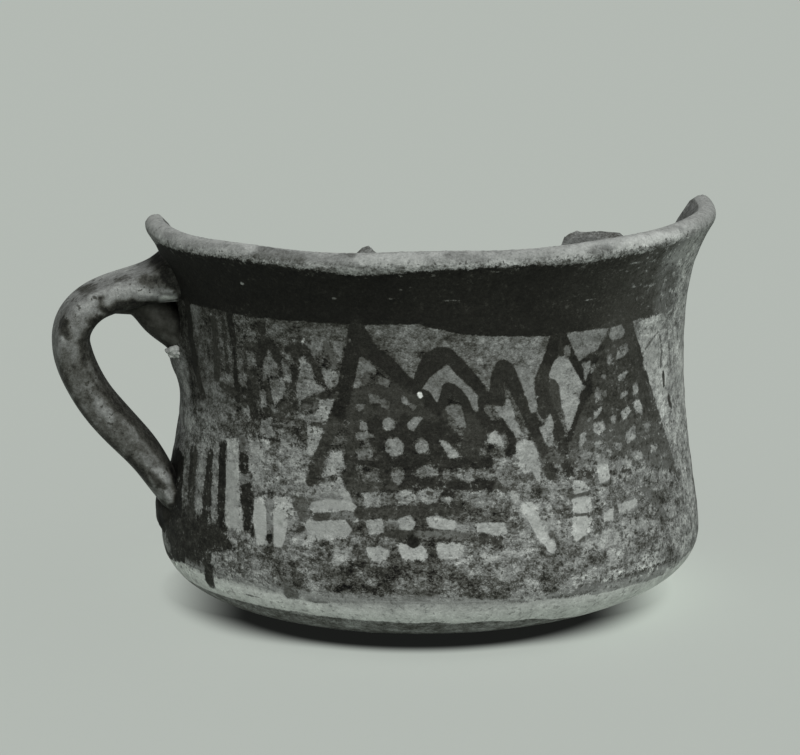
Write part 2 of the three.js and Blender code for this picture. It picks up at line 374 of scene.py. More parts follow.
def wall_top(profile, run):
    """How far along a profile each column reaches before the break."""
    sloped_cut = cut[:, None] + BREAK_SLOPE * (profile[:, 0][None, :] - BREAK_MIDDLE)
    reach = profile[:, 1][None, :] - sloped_cut
    above = reach > 0
    first = np.where(above.any(1), above.argmax(1), len(run) - 1)
    before = np.maximum(first - 1, 0)
    rows = np.arange(columns)
    low, high = reach[rows, before], reach[rows, first]
    share = np.where(above.any(1) & (first > 0), -low / np.maximum(high - low, 1e-9), 1.0)
    return run[before] + (run[first] - run[before]) * share


print("columns:", columns)

# %% Rows up the wall
UNDERSIDE_ROWS, LOWER_ROWS, UPPER_ROWS = 26, 54, 80
INNER_UPPER_ROWS, INNER_LOWER_ROWS = 14, 16
SURE_HEIGHT = 40.0

sure_out = np.interp(SURE_HEIGHT, outside[:, 1], outside_run)
sure_in = np.interp(-SURE_HEIGHT, -inside[:, 1], inside_run)
top_out = wall_top(outside, outside_run)
top_in = inside_run[-1] - wall_top(inside[::-1], inside_run[-1] - inside_run[::-1])

lower_rows = np.concatenate([
    np.linspace(0, belly_run, UNDERSIDE_ROWS, endpoint=False),
    np.linspace(belly_run, sure_out, LOWER_ROWS, endpoint=False),
])
climb = np.linspace(0, 1, UPPER_ROWS)
out_runs = np.concatenate([
    np.broadcast_to(lower_rows[:, None], (len(lower_rows), columns)),
    sure_out + (top_out - sure_out)[None, :] * climb[:, None],
])
fall = np.linspace(0, 1, INNER_UPPER_ROWS)
inner_lower_rows = np.linspace(sure_in, inside_run[-1], INNER_LOWER_ROWS + 1)[1:, None]
in_runs = np.concatenate([
    top_in + (sure_in - top_in)[None, :] * fall[:, None],
    np.broadcast_to(inner_lower_rows, (INNER_LOWER_ROWS, columns)),
])
out_rows = place_at(outside, outside_run, out_runs)
in_rows = place_at(inside, inside_run, in_runs)
print("rows outside:", len(out_rows), "rows inside:", len(in_rows))

# %% [markdown]
# ## Lip, break, floor and base
#
# The edge is a round lip where the rim is whole and a rough, flat break elsewhere. As separate
# meshes they would meet in a seam. Here both are made for every column and mixed by how far it is
# chipped. Plain rings close the floor and the base.

# %% Rows over the edge
CAP_ROWS, FLOOR_ROWS, BASE_RINGS = 9, 4, 5
BREAK_GRAIN = 0.3
CHIP_START, CHIP_FULL = -0.2, 0.5

share = np.linspace(0, 1, CAP_ROWS + 2)[1:-1]
arc = lip_arc(LIP_CAP_START + (LIP_CAP_END - LIP_CAP_START) * share)
straight = out_rows[-1][None] + (in_rows[0] - out_rows[-1])[None] * share[:, None, None]
whole_height = lip_arc(np.array([LIP_CAP_START]))[0, 1]
chipped = smooth(CHIP_START, CHIP_FULL, whole_height - out_rows[-1, :, 1])
straight[..., 1] += dice.normal(0, BREAK_GRAIN, (CAP_ROWS, columns)) * np.sin(np.pi * share)[:, None]
cap_rows = arc[:, None] * (1 - chipped)[None, :, None] + straight * chipped[None, :, None]

floor_share = np.linspace(1, 0, FLOOR_ROWS + 1)[1:-1]
floor_rows = np.stack([
    np.broadcast_to(in_rows[-1, :, 0] * floor_share[:, None], (len(floor_share), columns)),
    np.full((len(floor_share), columns), FLOOR_THICKNESS),
], -1)
base_share = np.linspace(0, 1, BASE_RINGS)[1:-1]
base_rows = np.stack([
    np.broadcast_to(BASE_RADIUS * base_share[:, None], (len(base_share), columns)),
    np.zeros((len(base_share), columns)),
], -1)
grid = np.concatenate([base_rows, out_rows, cap_rows, in_rows, floor_rows])
print("vessel grid:", grid.shape[0], "rows by", columns, "columns")

# %% [markdown]
# ## From grid to mesh
#
# A closed grid has a quad between each four neighbours and a fan of triangles at each end.
# Bridging edge loops by hand would do, but this keeps the order of the points, which the painting
# needs. Each piece rides on the cup's body and stands for its solids.


# %% Mesh helpers
def closed_grid(points, start_point, end_point):
    """Vertices and faces of a grid of rings (rows, columns, 3) with a fan at each end."""
    rows, count = points.shape[:2]
    vertices = np.vstack([points.reshape(-1, 3), start_point, end_point])
    ring = np.arange(count)
    following = (ring + 1) % count
    quads = []
    for row in range(rows - 1):
        a = row * count
        quads.append(np.stack([a + ring, a + following, a + count + following, a + count + ring], -1))
    first, last, final = rows * count, rows * count + 1, (rows - 1) * count
    fans = [(first, int(following[k]), int(k)) for k in ring]
    fans += [(last, final + int(k), final + int(following[k])) for k in ring]
    return vertices, np.vstack(quads).tolist() + fans


def new_piece(name, vertices, faces, nodes, crease=None):
    """A mesh object, from vertices in mm, that stands for solids of the cup."""
    mesh = bpy.data.meshes.new(name)
    mesh.from_pydata((np.asarray(vertices) * MM).tolist(), [], faces)
    mesh.polygons.foreach_set("use_smooth", [True] * len(mesh.polygons))
    if crease:
        mesh.set_sharp_from_angle(angle=math.radians(crease))
    mesh.validate()
    piece = bpy.data.objects.new(name, mesh)
    bpy.context.scene.collection.objects.link(piece)
    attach(piece, "root")
    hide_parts(*nodes)
    print(name, len(mesh.polygons), "faces")
    return piece


def set_attribute(piece, name, values):
    """Stores one number for each vertex, which the material reads by name."""
    layer = piece.data.attributes.new(name, "FLOAT", "POINT")
    layer.data.foreach_set("value", np.asarray(values, np.float32))


print("mesh helpers: closed_grid and new_piece")

# %% [markdown]
# ## The dressed wall
#
# The grid goes through the hand's unevenness and becomes the cup. The base is set flat again,
# because the cup stands on it. Bevels could mark the hard edges, but shading is enough: edges
# sharper than 48 degrees stay crisp, as on the break.

# %% Vessel mesh
CRISP_EDGE = 48
around = np.broadcast_to(angles[None, :], grid.shape[:2])
wall_points = by_hand(grid[..., 0], grid[..., 1], around)
wall_points[:len(base_rows) + 1, :, 2] = 0
base_middle = np.array([FOOT_SHIFT, 0, 0])
floor_middle = np.array([0, 0, FLOOR_THICKNESS])
vertices, faces = closed_grid(wall_points, base_middle, floor_middle)
vessel = new_piece("cup_wall", vertices, faces, ["vessel_body"], crease=CRISP_EDGE)

# %% [markdown]
# ## Reading the brush marks off the photograph
#
# The pattern is drawn by hand, so no formula gives it. A picture laid on the wall would bring its
# light and flaws along. So each mark is read off as a few pixels along its middle or round its
# edge. The line of sight through a pixel meets the wall at a place that is kept as mm round the
# cup and mm up the outline, so strokes keep their width.

# %% From pixel to wall
SIGHT_NEAR, SIGHT_FAR, SIGHT_COUNT = VIEW_DISTANCE - 75, VIEW_DISTANCE + 30, 420
SIGHT_STEPS = np.linspace(SIGHT_NEAR, SIGHT_FAR, SIGHT_COUNT)
ABOVE_WALL = -9


def on_wall(pixels):
    """Where sight lines through pixels meet the wall: mm round, mm up from the belly."""
    px, py = np.asarray(pixels, float).T
    slope_x = (px - PHOTO_WIDTH / 2) / FOCAL_PIXELS
    slope_y = (PHOTO_HEIGHT / 2 - py) / FOCAL_PIXELS
    way = view_forward + slope_x[:, None] * view_right + slope_y[:, None] * view_up
    spots = eye + way[:, None, :] * SIGHT_STEPS[None, :, None]
    z = spots[..., 2] - RIM_SLOPE * spots[..., 0] * smooth(WAIST_HEIGHT, RIM_HEIGHT, spots[..., 2])
    x = spots[..., 0] - FOOT_SHIFT * np.clip(1 - z / BELLY_HEIGHT, 0, 1) ** 2
    wall_radius = np.interp(z, outside[:, 1], outside[:, 0])
    wall_radius = np.where(z > outside[-1, 1], ABOVE_WALL, wall_radius)
    gap = np.hypot(x, spots[..., 1]) - wall_radius
    met = gap < 0
    first = np.where(met.any(1), met.argmax(1), gap.argmin(1))
    pick = np.arange(len(px)), first
    angle = np.arctan2(spots[..., 1][pick], x[pick])
    return np.stack([round_of(angle), np.interp(z[pick], outside[:, 1], outside_run) - belly_run], -1)


up_outside = np.concatenate([
    np.full((len(base_rows), columns), -belly_run),
    out_runs - belly_run,
    np.broadcast_to(outside_run[-1] - belly_run + lip_half * share[:, None], (CAP_ROWS, columns)),
])
painted = np.stack([np.broadcast_to(round_of(angles), up_outside.shape), up_outside], -1).reshape(-1, 2)
print("places to paint:", len(painted))

# %% [markdown]
# ## Layers of paint and wear
#
# Slip lies on the clay, and time wore both. Each is a layer: one number for every point on the
# outside. A plain yes or no would show the mesh as steps, so paint and bare spots keep a distance
# in mm to their edge, more than 0 inside it, which the material can fray with grain.

# %% Paint layers
NO_PAINT = -3.0
WEAR_HIGH, WEAR_GAIN, WEAR_FROM, WEAR_TO = 0.15, 0.85, -36.0, -20.0
paint_edge = np.full(len(painted), NO_PAINT)
paint_load = np.ones(len(painted))
bare_edge = np.full(len(painted), NO_PAINT)
bare_light = np.ones(len(painted))
# The stain layer also carries painted shade under the foot and painted light along the right edge.
stain_and_shade = np.full(len(painted), 0.3)
wear = WEAR_HIGH + WEAR_GAIN * smooth(WEAR_FROM, WEAR_TO, -painted[:, 1])
fracture = np.concatenate([
    np.zeros((len(base_rows) + len(out_runs), columns)),
    np.tile(chipped, (CAP_ROWS, 1)),
]).ravel()


def near(places, margin):
    """The painted places within a margin round some points."""
    low, high = places.min(0) - margin, places.max(0) + margin
    return np.flatnonzero(((painted > low) & (painted < high)).all(1))


def distance_to_line(spots, places):
    """How far each spot lies from a line of points."""
    best = np.full(len(spots), 99.0)
    for a, b in zip(places, places[1:]):
        along = b - a
        t = np.clip((spots - a) @ along / max(along @ along, 1e-9), 0, 1)
        best = np.minimum(best, np.linalg.norm(spots - a - t[:, None] * along, axis=1))
    return best


def depth_inside(spots, places):
    """How deep each spot lies inside an outline; less than 0 outside it."""
    within = np.zeros(len(spots), bool)
    for a, b in zip(places, np.roll(places, -1, axis=0)):
        crosses = (a[1] > spots[:, 1]) != (b[1] > spots[:, 1])
        rise = b[1] - a[1] if b[1] != a[1] else 1e-9
        within ^= crosses & (spots[:, 0] < a[0] + (spots[:, 1] - a[1]) / rise * (b[0] - a[0]))
    away = distance_to_line(spots, np.vstack([places, places[:1]]))
    return np.where(within, away, -away)


print("layers of", len(painted), "numbers each")

# %% [markdown]
# ## A brush, a scraper and a rag
#
# A brush adds a dark stroke with a crisp edge, and a fill does so inside an outline. A scraper
# and a scratch bare the light clay. A rag changes a tone or the wear softly. Texture Paint would
# do this with a mouse, but marks in a list can be moved one by one. Later marks lie over earlier
# ones.

# %% Brush, scraper and rag
CELL_SPREAD = 0.3
MARK_REACH = -0.6
RAG_CORE, RAG_END = 0.35, 1.5


def lay(rows, depth, load):
    """Adds paint where its depth is more than what is there."""
    more = depth > paint_edge[rows]
    paint_edge[rows] = np.maximum(paint_edge[rows], depth)
    paint_load[rows] = np.where(more & (depth > MARK_REACH), load, paint_load[rows])


def bare(rows, depth, light):
    """Takes paint off inside a mark and sets how light the clay is there."""
    more = depth > bare_edge[rows]
    paint_edge[rows] = np.minimum(paint_edge[rows], -depth)
    bare_edge[rows] = np.maximum(bare_edge[rows], depth)
    bare_light[rows] = np.where(more & (depth > MARK_REACH), light, bare_light[rows])


def brush(width, load, places):
    """A stroke of paint along a line."""
    rows = near(places, width + 2)
    lay(rows, width / 2 - distance_to_line(painted[rows], places), load)


def fill(load, places):
    """Paint inside an outline."""
    rows = near(places, 3)
    lay(rows, depth_inside(painted[rows], places), load)


def scrape(light, places):
    """Bare clay inside an outline."""
    rows = near(places, 2)
    bare(rows, depth_inside(painted[rows], places) + CELL_SPREAD, light)


def scratch(width, light, places):
    """Bare clay along a line."""
    rows = near(places, width + 2)
    bare(rows, width / 2 - distance_to_line(painted[rows], places), light)


def rag(level, radius, places, layer=stain_and_shade):
    """Draws a layer softly to a level along a line."""
    rows = near(places, radius * 1.6)
    away = distance_to_line(painted[rows], places)
    layer[rows] = toward(layer[rows], level, 1 - smooth(radius * RAG_CORE, radius * RAG_END, away))


print("paint tools: brush, fill, scrape, scratch, rag")


# %% Lists of marks
def wipe_marks(marks, layer=stain_and_shade):
    """Wipes marks on a layer: a level, a radius in mm and the pixels passed."""
    for level, radius, *pixels in marks:
        rag(level, radius, on_wall(pixels), layer)
    print("wiped", len(marks), "marks")


def brush_marks(marks):
    """Paints marks: a width in mm, the load of the brush and the pixels passed."""
    for width, load, *pixels in marks:
        brush(width, load, on_wall(pixels))
    print("brushed", len(marks), "marks")


def scrape_marks(marks):
    """Scrapes cells clean: how light the clay is and the pixels round it."""
    for light, *pixels in marks:
        scrape(light, on_wall(pixels))
    print("scraped", len(marks), "cells")


print("mark lists: wipe_marks, brush_marks, scrape_marks")

# %% [markdown]
# ## Stains
#
# Clay that lay in the ground is never one colour. Noise would put the smudges in the wrong
# places, so each mark below is one wipe of the rag: how dark, how wide in mm, and the pixels it
# passes. Broad wipes come first.

# %% Stains of the neck
NECK_STAINS = [
    (0.64, 9, (240, 335), (300, 335), (345, 335)),
    (0.62, 8, (375, 335), (440, 338), (490, 350)), (0.66, 4, (482, 342), (492, 350)),
    (0.4, 7, (506, 345), (540, 350)),
    # The two wipes below zero are painted light: they lighten the wall along its right edge, where the
    # lamp from the right falls.
    (-0.1, 5, (650, 335), (660, 370), (672, 420), (682, 470)),
    (-0.08, 5, (676, 335), (682, 380), (688, 430)),
    (0.1, 5, (682, 250), (684, 290), (682, 320)), (0.34, 5, (580, 345), (600, 340)),
    (0.86, 6, (180, 300), (188, 340), (198, 390)),
    (0.74, 6, (210, 310), (213, 350), (220, 385)),
]
wipe_marks(NECK_STAINS)

# %% Stains on the left
LEFT_STAINS = [
    (0.6, 4, (232, 330), (236, 380)), (0.25, 3, (184, 370), (186, 410), (184, 440)),
    (0.3, 3, (228, 394), (230, 420)), (0.4, 6, (215, 405), (228, 430), (205, 440)),
    (0.72, 5, (245, 350), (260, 390), (275, 420)),
    (0.6, 6, (290, 380), (300, 410), (320, 405)),
    (0.45, 5, (255, 445), (290, 455), (300, 480)),
    (0.4, 5, (255, 505), (300, 500), (290, 530)), (0.54, 4, (190, 450), (188, 500)),
    (0.84, 4, (170, 524), (200, 535), (214, 542)), (0.7, 5, (175, 540), (205, 548)),
    (0.86, 2, (274, 553), (300, 555)), (0.84, 1.6, (232, 549), (262, 552)),
    (0.86, 3, (285, 588), (297, 594)), (0.58, 4, (205, 386), (213, 402)),
    (0.85, 4, (262, 388), (268, 404)), (0.72, 4, (238, 402), (246, 408)),
    (0.8, 4, (284, 408), (302, 412)), (0.3, 5, (220, 566), (260, 572), (300, 572)),
    (0.6, 2.4, (248, 558), (275, 560), (302, 560)),
]
wipe_marks(LEFT_STAINS)

# %% Stains on the front and the right
FRONT_STAINS = [
    (0.86, 9, (360, 400), (400, 400), (440, 420), (480, 440)),
    (0.8, 9, (360, 440), (420, 455), (490, 465)),
    (0.76, 8, (365, 480), (430, 485), (480, 480)),
    (0.72, 7, (365, 510), (420, 512), (460, 510)),
    (0.72, 7, (370, 537), (430, 536), (470, 536)),
    (0.7, 7, (360, 572), (410, 576), (450, 574)),
    (0.64, 4, (350, 590), (430, 594), (470, 590)), (0.52, 5, (480, 582), (520, 580)),
    (0.6, 5, (335, 560), (360, 560)), (0.44, 7, (485, 500), (500, 515), (500, 560)),
    (0.46, 7, (520, 545), (530, 575), (540, 585)),
    (0.3, 6, (515, 450), (530, 455), (535, 475)),
    (0.66, 7, (500, 400), (510, 430), (490, 440)),
    (0.6, 6, (545, 390), (550, 430), (560, 460)),
    (0.46, 6, (550, 490), (560, 515), (562, 540)),
    (0.62, 8, (610, 370), (610, 410), (620, 450)),
    (0.5, 8, (600, 470), (640, 470), (665, 480)),
    (0.44, 7, (625, 495), (655, 500), (665, 515)),
    (0.4, 7, (610, 530), (640, 540), (665, 540)),
    (0.2, 7, (560, 565), (590, 570), (620, 560)),
    # This low wipe along the right edge is partly painted light too.
    (0.14, 5, (685, 440), (688, 480), (690, 530), (680, 550)),
    (0.22, 5, (650, 555), (670, 550)),
]
wipe_marks(FRONT_STAINS)

# %% Small stains
SMALL_STAINS = [
    (0.7, 2, (286, 574), (298, 580), (284, 592)), (0.8, 2.4, (328, 572), (342, 586)),
    (0.7, 1.8, (550, 578), (552, 588)), (0.6, 1.6, (598, 578), (605, 580)),
    (0.55, 1.6, (604, 560), (612, 558)), (0.66, 1.8, (666, 555), (674, 557)),
    (0.6, 1.8, (566, 558), (582, 564)), (0.5, 2.2, (655, 498), (666, 500)),
    (0.58, 4, (545, 552), (562, 572)), (0.72, 3, (546, 576), (575, 574)),
    (0.34, 4, (640, 553), (656, 560)), (0.42, 5, (626, 534), (650, 540)),
    (0, 3, (612, 580), (650, 572)), (0.5, 5, (556, 542), (590, 560)),
    (0.46, 2, (409, 358), (413, 372)), (0.4, 2, (484, 374), (490, 384)),
    (0.7, 2, (444, 514), (500, 516)), (0.26, 4, (527, 556), (530, 566)),
    (0.3, 2.2, (464, 556), (476, 562)), (0.8, 3, (362, 372), (376, 390)),
    (0.44, 4, (545, 520), (560, 530)), (0.14, 4, (602, 555), (620, 566)),
    (0.16, 3, (530, 593), (560, 590), (600, 584)), (0.6, 3, (478, 592), (512, 592)),
    (0.4, 2.4, (240, 532), (254, 536)), (0.76, 1.5, (547, 578), (551, 588)),
    (0.64, 3, (553, 560), (572, 562), (560, 572)), (0.4, 1.6, (584, 557), (604, 555)),
    (0.32, 2.6, (508, 455), (510, 478)), (0.26, 1, (306, 598), (338, 600)),
    (0.54, 2.4, (523, 480), (536, 485)), (0.3, 3, (622, 476), (636, 480)),
    (0.1, 3, (647, 335), (652, 350)), (0.12, 3, (668, 392), (672, 408)),
    (0.84, 2.6, (330, 352), (346, 356)), (0.94, 2.4, (384, 372), (396, 386)),
    (0.9, 2.4, (324, 376), (334, 384)), (0.55, 3, (230, 434), (250, 438)),
]
wipe_marks(SMALL_STAINS)

# %% [markdown]
# ## The pale foot
#
# Below the belly the clay was left bare and is hardly worn. One straight ring would look made by
# a machine, so the wavering edge of the dark wall is read off at eight places and joined, with a
# little seeded wander. The foot grows lighter downwards, partly its bare clay and partly painted
# light thrown up from the sheet, and thin lines run round it. Below its turn, except on the right,
# the underside gets painted shade.

# %% Foot
FOOT_ROUND = (-60, -42, -25, 0, 12, 20, 43, 60)
FOOT_TOP = (-3.0, -2.8, -1.6, -1.2, -2.4, -3.2, -3.2, -2.8)
FOOT_TURN = (-8.4, -7.9, -7.5, -8.1, -8.4, -8.9, -16, -20)
FOOT_WANDER = 0.1
FOOT_LIGHT, FOOT_LIGHTER = 0.46, 0.72
FOOT_LIGHT_LEFT, FOOT_LIGHT_RIGHT, FOOT_LIGHT_EDGE = 1.34, 1.24, 0.2
FOOT_WEAR, UNDERSIDE_SHADE = 0.06, 0.47
foot_waves = waves(8, 4, 40, 2.0)

across, upward = painted.T
below = -upward
foot_top = np.interp(across, FOOT_ROUND, FOOT_TOP)
foot_turn = np.interp(across, FOOT_ROUND, FOOT_TURN)
foot_depth = np.minimum(foot_top - upward, upward - foot_turn)
foot_depth = foot_depth + FOOT_WANDER * round_the_cup(across / ROUND_RADIUS, foot_waves)
in_foot = foot_depth > -1

# The foot's lightness is partly its bare clay and partly painted light, thrown up from the sheet.
foot_light = FOOT_LIGHT + FOOT_LIGHTER * smooth(1.4, 5.4, below)
foot_light = foot_light + FOOT_LIGHT_EDGE * smooth(44, 50, across) * smooth(4, 9, below)
left_share = smooth(12, 38, -across) * smooth(1.6, 4, below) * (1 - smooth(5, 7.4, below))
foot_light = toward(foot_light, FOOT_LIGHT_LEFT, left_share)
foot_light = toward(foot_light, FOOT_LIGHT_RIGHT, smooth(16, 32, across) * (1 - smooth(6.0, 8.6, below)))

bare_edge = np.maximum(bare_edge, foot_depth)
bare_light[in_foot] = foot_light[in_foot]
wear[upward < foot_top] = FOOT_WEAR
# Painted shade: below the foot's turn, except on the right, the underside is darkened where it turns from
# the light.
stain_and_shade[(upward < foot_turn + 0.6) & (upward < -6)] = UNDERSIDE_SHADE
print("points in the foot:", int(in_foot.sum()))

# %% Lines on the foot
FOOT_RINGS = [(-2.6, 0.2), (-8.8, 0.5)]
FOOT_RING_WIDTH, FOOT_RING_END = 0.34, 158
for up, load in FOOT_RINGS:
    brush(FOOT_RING_WIDTH, load, np.array([(-FOOT_RING_END, up), (FOOT_RING_END, up)]))
FOOT_LINES = [
    (1.7, 0.56, (285, 583), (288, 594), (297, 595)),
    (0.8, 0.34, (530, 600), (560, 595), (600, 586), (640, 574), (668, 562)),
    (0.7, 0.2, (592, 594), (630, 584), (664, 572)),
]
brush_marks(FOOT_LINES)

# %% [markdown]
# ## The dark band
#
# The potter held a loaded brush to the turning cup. A ring of one height would be the quick way,
# but the real band is worn along the lip and wavers below. So both edges are read off, the field
# between them is filled, and it goes on round the back. It flakes towards the right.

# %% Band
BAND_TOP = [
    (147, 247), (160, 243), (184, 250), (208, 256), (232, 259), (256, 263), (280, 267), (304, 268),
    (328, 271), (352, 275), (388, 275), (412, 273), (436, 272), (460, 270), (484, 268), (508, 266),
    (532, 264), (556, 264), (592, 262), (604, 259), (628, 255), (652, 250), (680, 241), (697, 232),
    (711, 222),
]
BAND_BOTTOM = [
    (658, 314), (640, 319), (631, 321), (620, 325), (603, 329), (587, 332), (569, 334), (549, 336),
    (480, 336), (468, 335), (454, 333), (440, 330), (426, 327), (418, 324), (390, 325), (366, 325),
    (350, 324), (330, 323), (300, 321), (280, 320), (262, 318), (250, 317), (238, 315), (228, 313),
    (218, 309), (205, 307), (190, 303), (180, 298),
]
BACK_SEAM = math.pi * ROUND_RADIUS + 1
BAND_REACH_LEFT = [(-BACK_SEAM, 47.5), (-BACK_SEAM, 62.5), (-80, 62.3)]
BAND_REACH_RIGHT = [
    (80, 62.8), (BACK_SEAM, 62.5), (BACK_SEAM, 47.5), (130, 48.6), (104, 46.2), (84, 47.4),
]
fill(1.0, np.vstack([BAND_REACH_LEFT, on_wall(BAND_TOP), BAND_REACH_RIGHT, on_wall(BAND_BOTTOM)]))
print("band:", len(BAND_TOP), "places above and", len(BAND_BOTTOM), "below")

# %% Wear of the band
BAND_FADES = [
    (0.96, 14, (480, 290), (540, 300)), (0.89, 10, (600, 285), (610, 300)),
    (0.82, 8, (632, 280), (640, 300)), (0.7, 7, (655, 262), (662, 300)),
    (0.12, 7, (682, 255), (684, 280), (682, 305)), (0.62, 2.5, (667, 276), (671, 284)),
    (0.46, 4, (664, 298), (664, 318)),
]
BAND_RUBS = [
    (1, 8, (672, 255), (680, 280), (676, 320)),
    (0.8, 4, (640, 255), (652, 280), (650, 312)),
    (0.9, 1.5, (160, 243), (232, 258), (304, 268), (388, 274)),
    (0.9, 1.5, (388, 274), (460, 270), (532, 264), (604, 258), (652, 250), (697, 232)),
]
WORN_START, WORN_END, WORN_BACK, WORN_STOP = 47.0, 66.0, 96.0, 110.0
BAND_FOOT, BAND_DEPTH, BAND_LOST = 44, 1.7, 3.2

wipe_marks(BAND_FADES, paint_load)
wipe_marks(BAND_RUBS, wear)
worn_share = smooth(WORN_START, WORN_END, across) * (1 - smooth(WORN_BACK, WORN_STOP, across))
worn_depth = np.minimum(paint_edge, BAND_DEPTH - BAND_LOST * worn_share)
paint_edge = np.where(upward > BAND_FOOT, worn_depth, paint_edge)

# %% [markdown]
# ## The lip
#
# The top of the rim is rubbed down to light clay with darker smudges. A separate piece would show
# an edge that the real rim lacks, so the bare layer covers all that lies above a line, and rags
# darken or lighten it in spots.

# %% Lip
LIP_START, LIP_MARGIN, LIP_LIGHT, LIP_WEAR = 62.9, 2, 0.9, -0.2
LIP_SPOTS = [
    (0.4, 1.2, (260, 250), (272, 250)), (0.45, 1.1, (284, 254), (290, 256), (297, 253)),
    (0.5, 1.3, (283, 262), (296, 266)), (0.4, 1, (308, 258), (310, 259)),
    (0.45, 1.2, (333, 266), (352, 268)), (0.45, 1, (346, 252), (352, 254)),
    (0.4, 1.1, (449, 258), (452, 258)), (0.62, 1, (668, 231), (679, 229)),
    (0.5, 1.4, (236, 252), (240, 254)), (0.5, 1, (205, 247), (212, 250)),
    (0.45, 1, (268, 262), (270, 263)), (0.55, 1.2, (594, 252), (606, 251)),
    (0.46, 2.4, (250, 252), (285, 258)), (0.66, 2, (290, 258), (330, 262)),
    (0.78, 2, (460, 260), (545, 256)), (0.66, 1.2, (336, 258), (344, 264)),
    (0.8, 1.2, (432, 262), (438, 262)), (0.62, 1.4, (462, 258), (478, 260)),
    (0.99, 2, (244, 240), (256, 246)), (0.4, 1.8, (286, 257), (298, 263)),
    (1.1, 2, (634, 244), (676, 236)), (0.75, 1.6, (164, 236), (196, 246), (236, 252)),
]
lip_depth = upward - LIP_START
on_lip = lip_depth > -LIP_MARGIN
bare_edge[on_lip] = lip_depth[on_lip]
bare_light[on_lip] = LIP_LIGHT
wear[lip_depth > 0.8] = LIP_WEAR
brush_marks([(0.9, 0.95, (248, 262), (264, 265), (284, 268), (312, 270))])
wipe_marks(LIP_SPOTS, bare_light)

# %% [markdown]
# ## Stripes and zigzags beside the handle
#
# Upright stripes stand close together on the left, and loose zigzags hang under the band. They
# were drawn fast, so they thicken, cross and break off. Bars spaced by a rule would lose that, so
# each stroke follows its own pixels.

# %% Strokes on the left
LEFT_STROKES = [
    (1.8, 0.94, (229, 306), (231, 325), (235, 341), (237, 380), (238, 398)),
    (3, 0.93, (187, 300), (191, 335), (196, 368)),
    (2.2, 0.84, (196, 365), (200, 385), (203, 395)),
    (2.2, 0.8, (214, 320), (217, 350), (217, 376)),
    (1.2, 0.84, (223, 318), (226, 345), (228, 372)),
    (1.4, 0.8, (222, 385), (235, 392), (246, 404)), (2, 0.88, (262, 327), (263, 340)),
    (4.4, 0.88, (266, 345), (262, 356)),
    (1.8, 0.8, (262, 346), (247, 345), (241, 352), (244, 366), (250, 376)),
    (2, 0.84, (256, 362), (253, 376), (256, 390), (266, 402), (268, 414)),
    (2.6, 0.88, (247, 380), (250, 396), (254, 414)), (1.6, 0.82, (266, 384), (270, 402)),
    (2.2, 0.88, (271, 346), (278, 358), (284, 374), (291, 388), (298, 402)),
    (2.6, 0.88, (291, 350), (298, 348), (305, 352)),
    (1.5, 0.9, (295, 352), (296, 370), (294, 392), (297, 410)),
    (2.2, 0.9, (305, 352), (315, 369), (324, 384), (332, 392)),
    (1.4, 0.6, (326, 344), (332, 356), (333, 368)),
    (1.8, 0.8, (300, 402), (318, 397), (345, 394)), (1.8, 0.8, (280, 407), (291, 408)),
    (1.4, 0.6, (305, 405), (316, 406)),
    (0.9, 0.8, (272, 414), (300, 422), (320, 425), (345, 428)),
    (0.6, 0.9, (253, 435), (283, 441), (310, 447)),
    (3.2, 0.88, (210, 457), (209, 480), (207, 520)),
    (2.8, 0.93, (223, 447), (223, 480), (222, 530)),
    (2.6, 0.93, (244, 458), (245, 470), (246, 500), (247, 524)),
    (1.6, 0.58, (243, 440), (244, 450)), (2.2, 0.8, (195, 452), (193, 480), (192, 516)),
    (0.9, 0.32, (269, 500), (269, 530)), (2.4, 0.85, (192, 452), (191, 480), (190, 516)),
    (0.9, 0.95, (252, 492), (253, 530), (253, 536)), (2.6, 0.6, (300, 504), (306, 514)),
    (1.4, 0.8, (290, 527), (297, 531), (304, 528)), (1.5, 1, (270, 537), (270, 538)),
    (3, 0.84, (206, 552), (208, 570), (210, 581)),
    (2.4, 0.9, (163, 553), (176, 556), (200, 556)),
]
DARK_FOOT = [
    (166, 522), (180, 516), (200, 518), (222, 527), (230, 540), (236, 549), (226, 552), (206, 552),
    (184, 554), (170, 544),
]
DARK_FOOT_WEAR = 1.3

fill(0.88, on_wall(DARK_FOOT))
rag(DARK_FOOT_WEAR, 4, on_wall(DARK_FOOT + DARK_FOOT[:1]), wear)
brush_marks(LEFT_STROKES)

# %% [markdown]
# ## Light cells on the left
#
# Between the strokes the clay stayed light, and the eye reads those shapes first. Strokes alone
# never leave just the right gaps, so each gap is scraped clean as an outline.

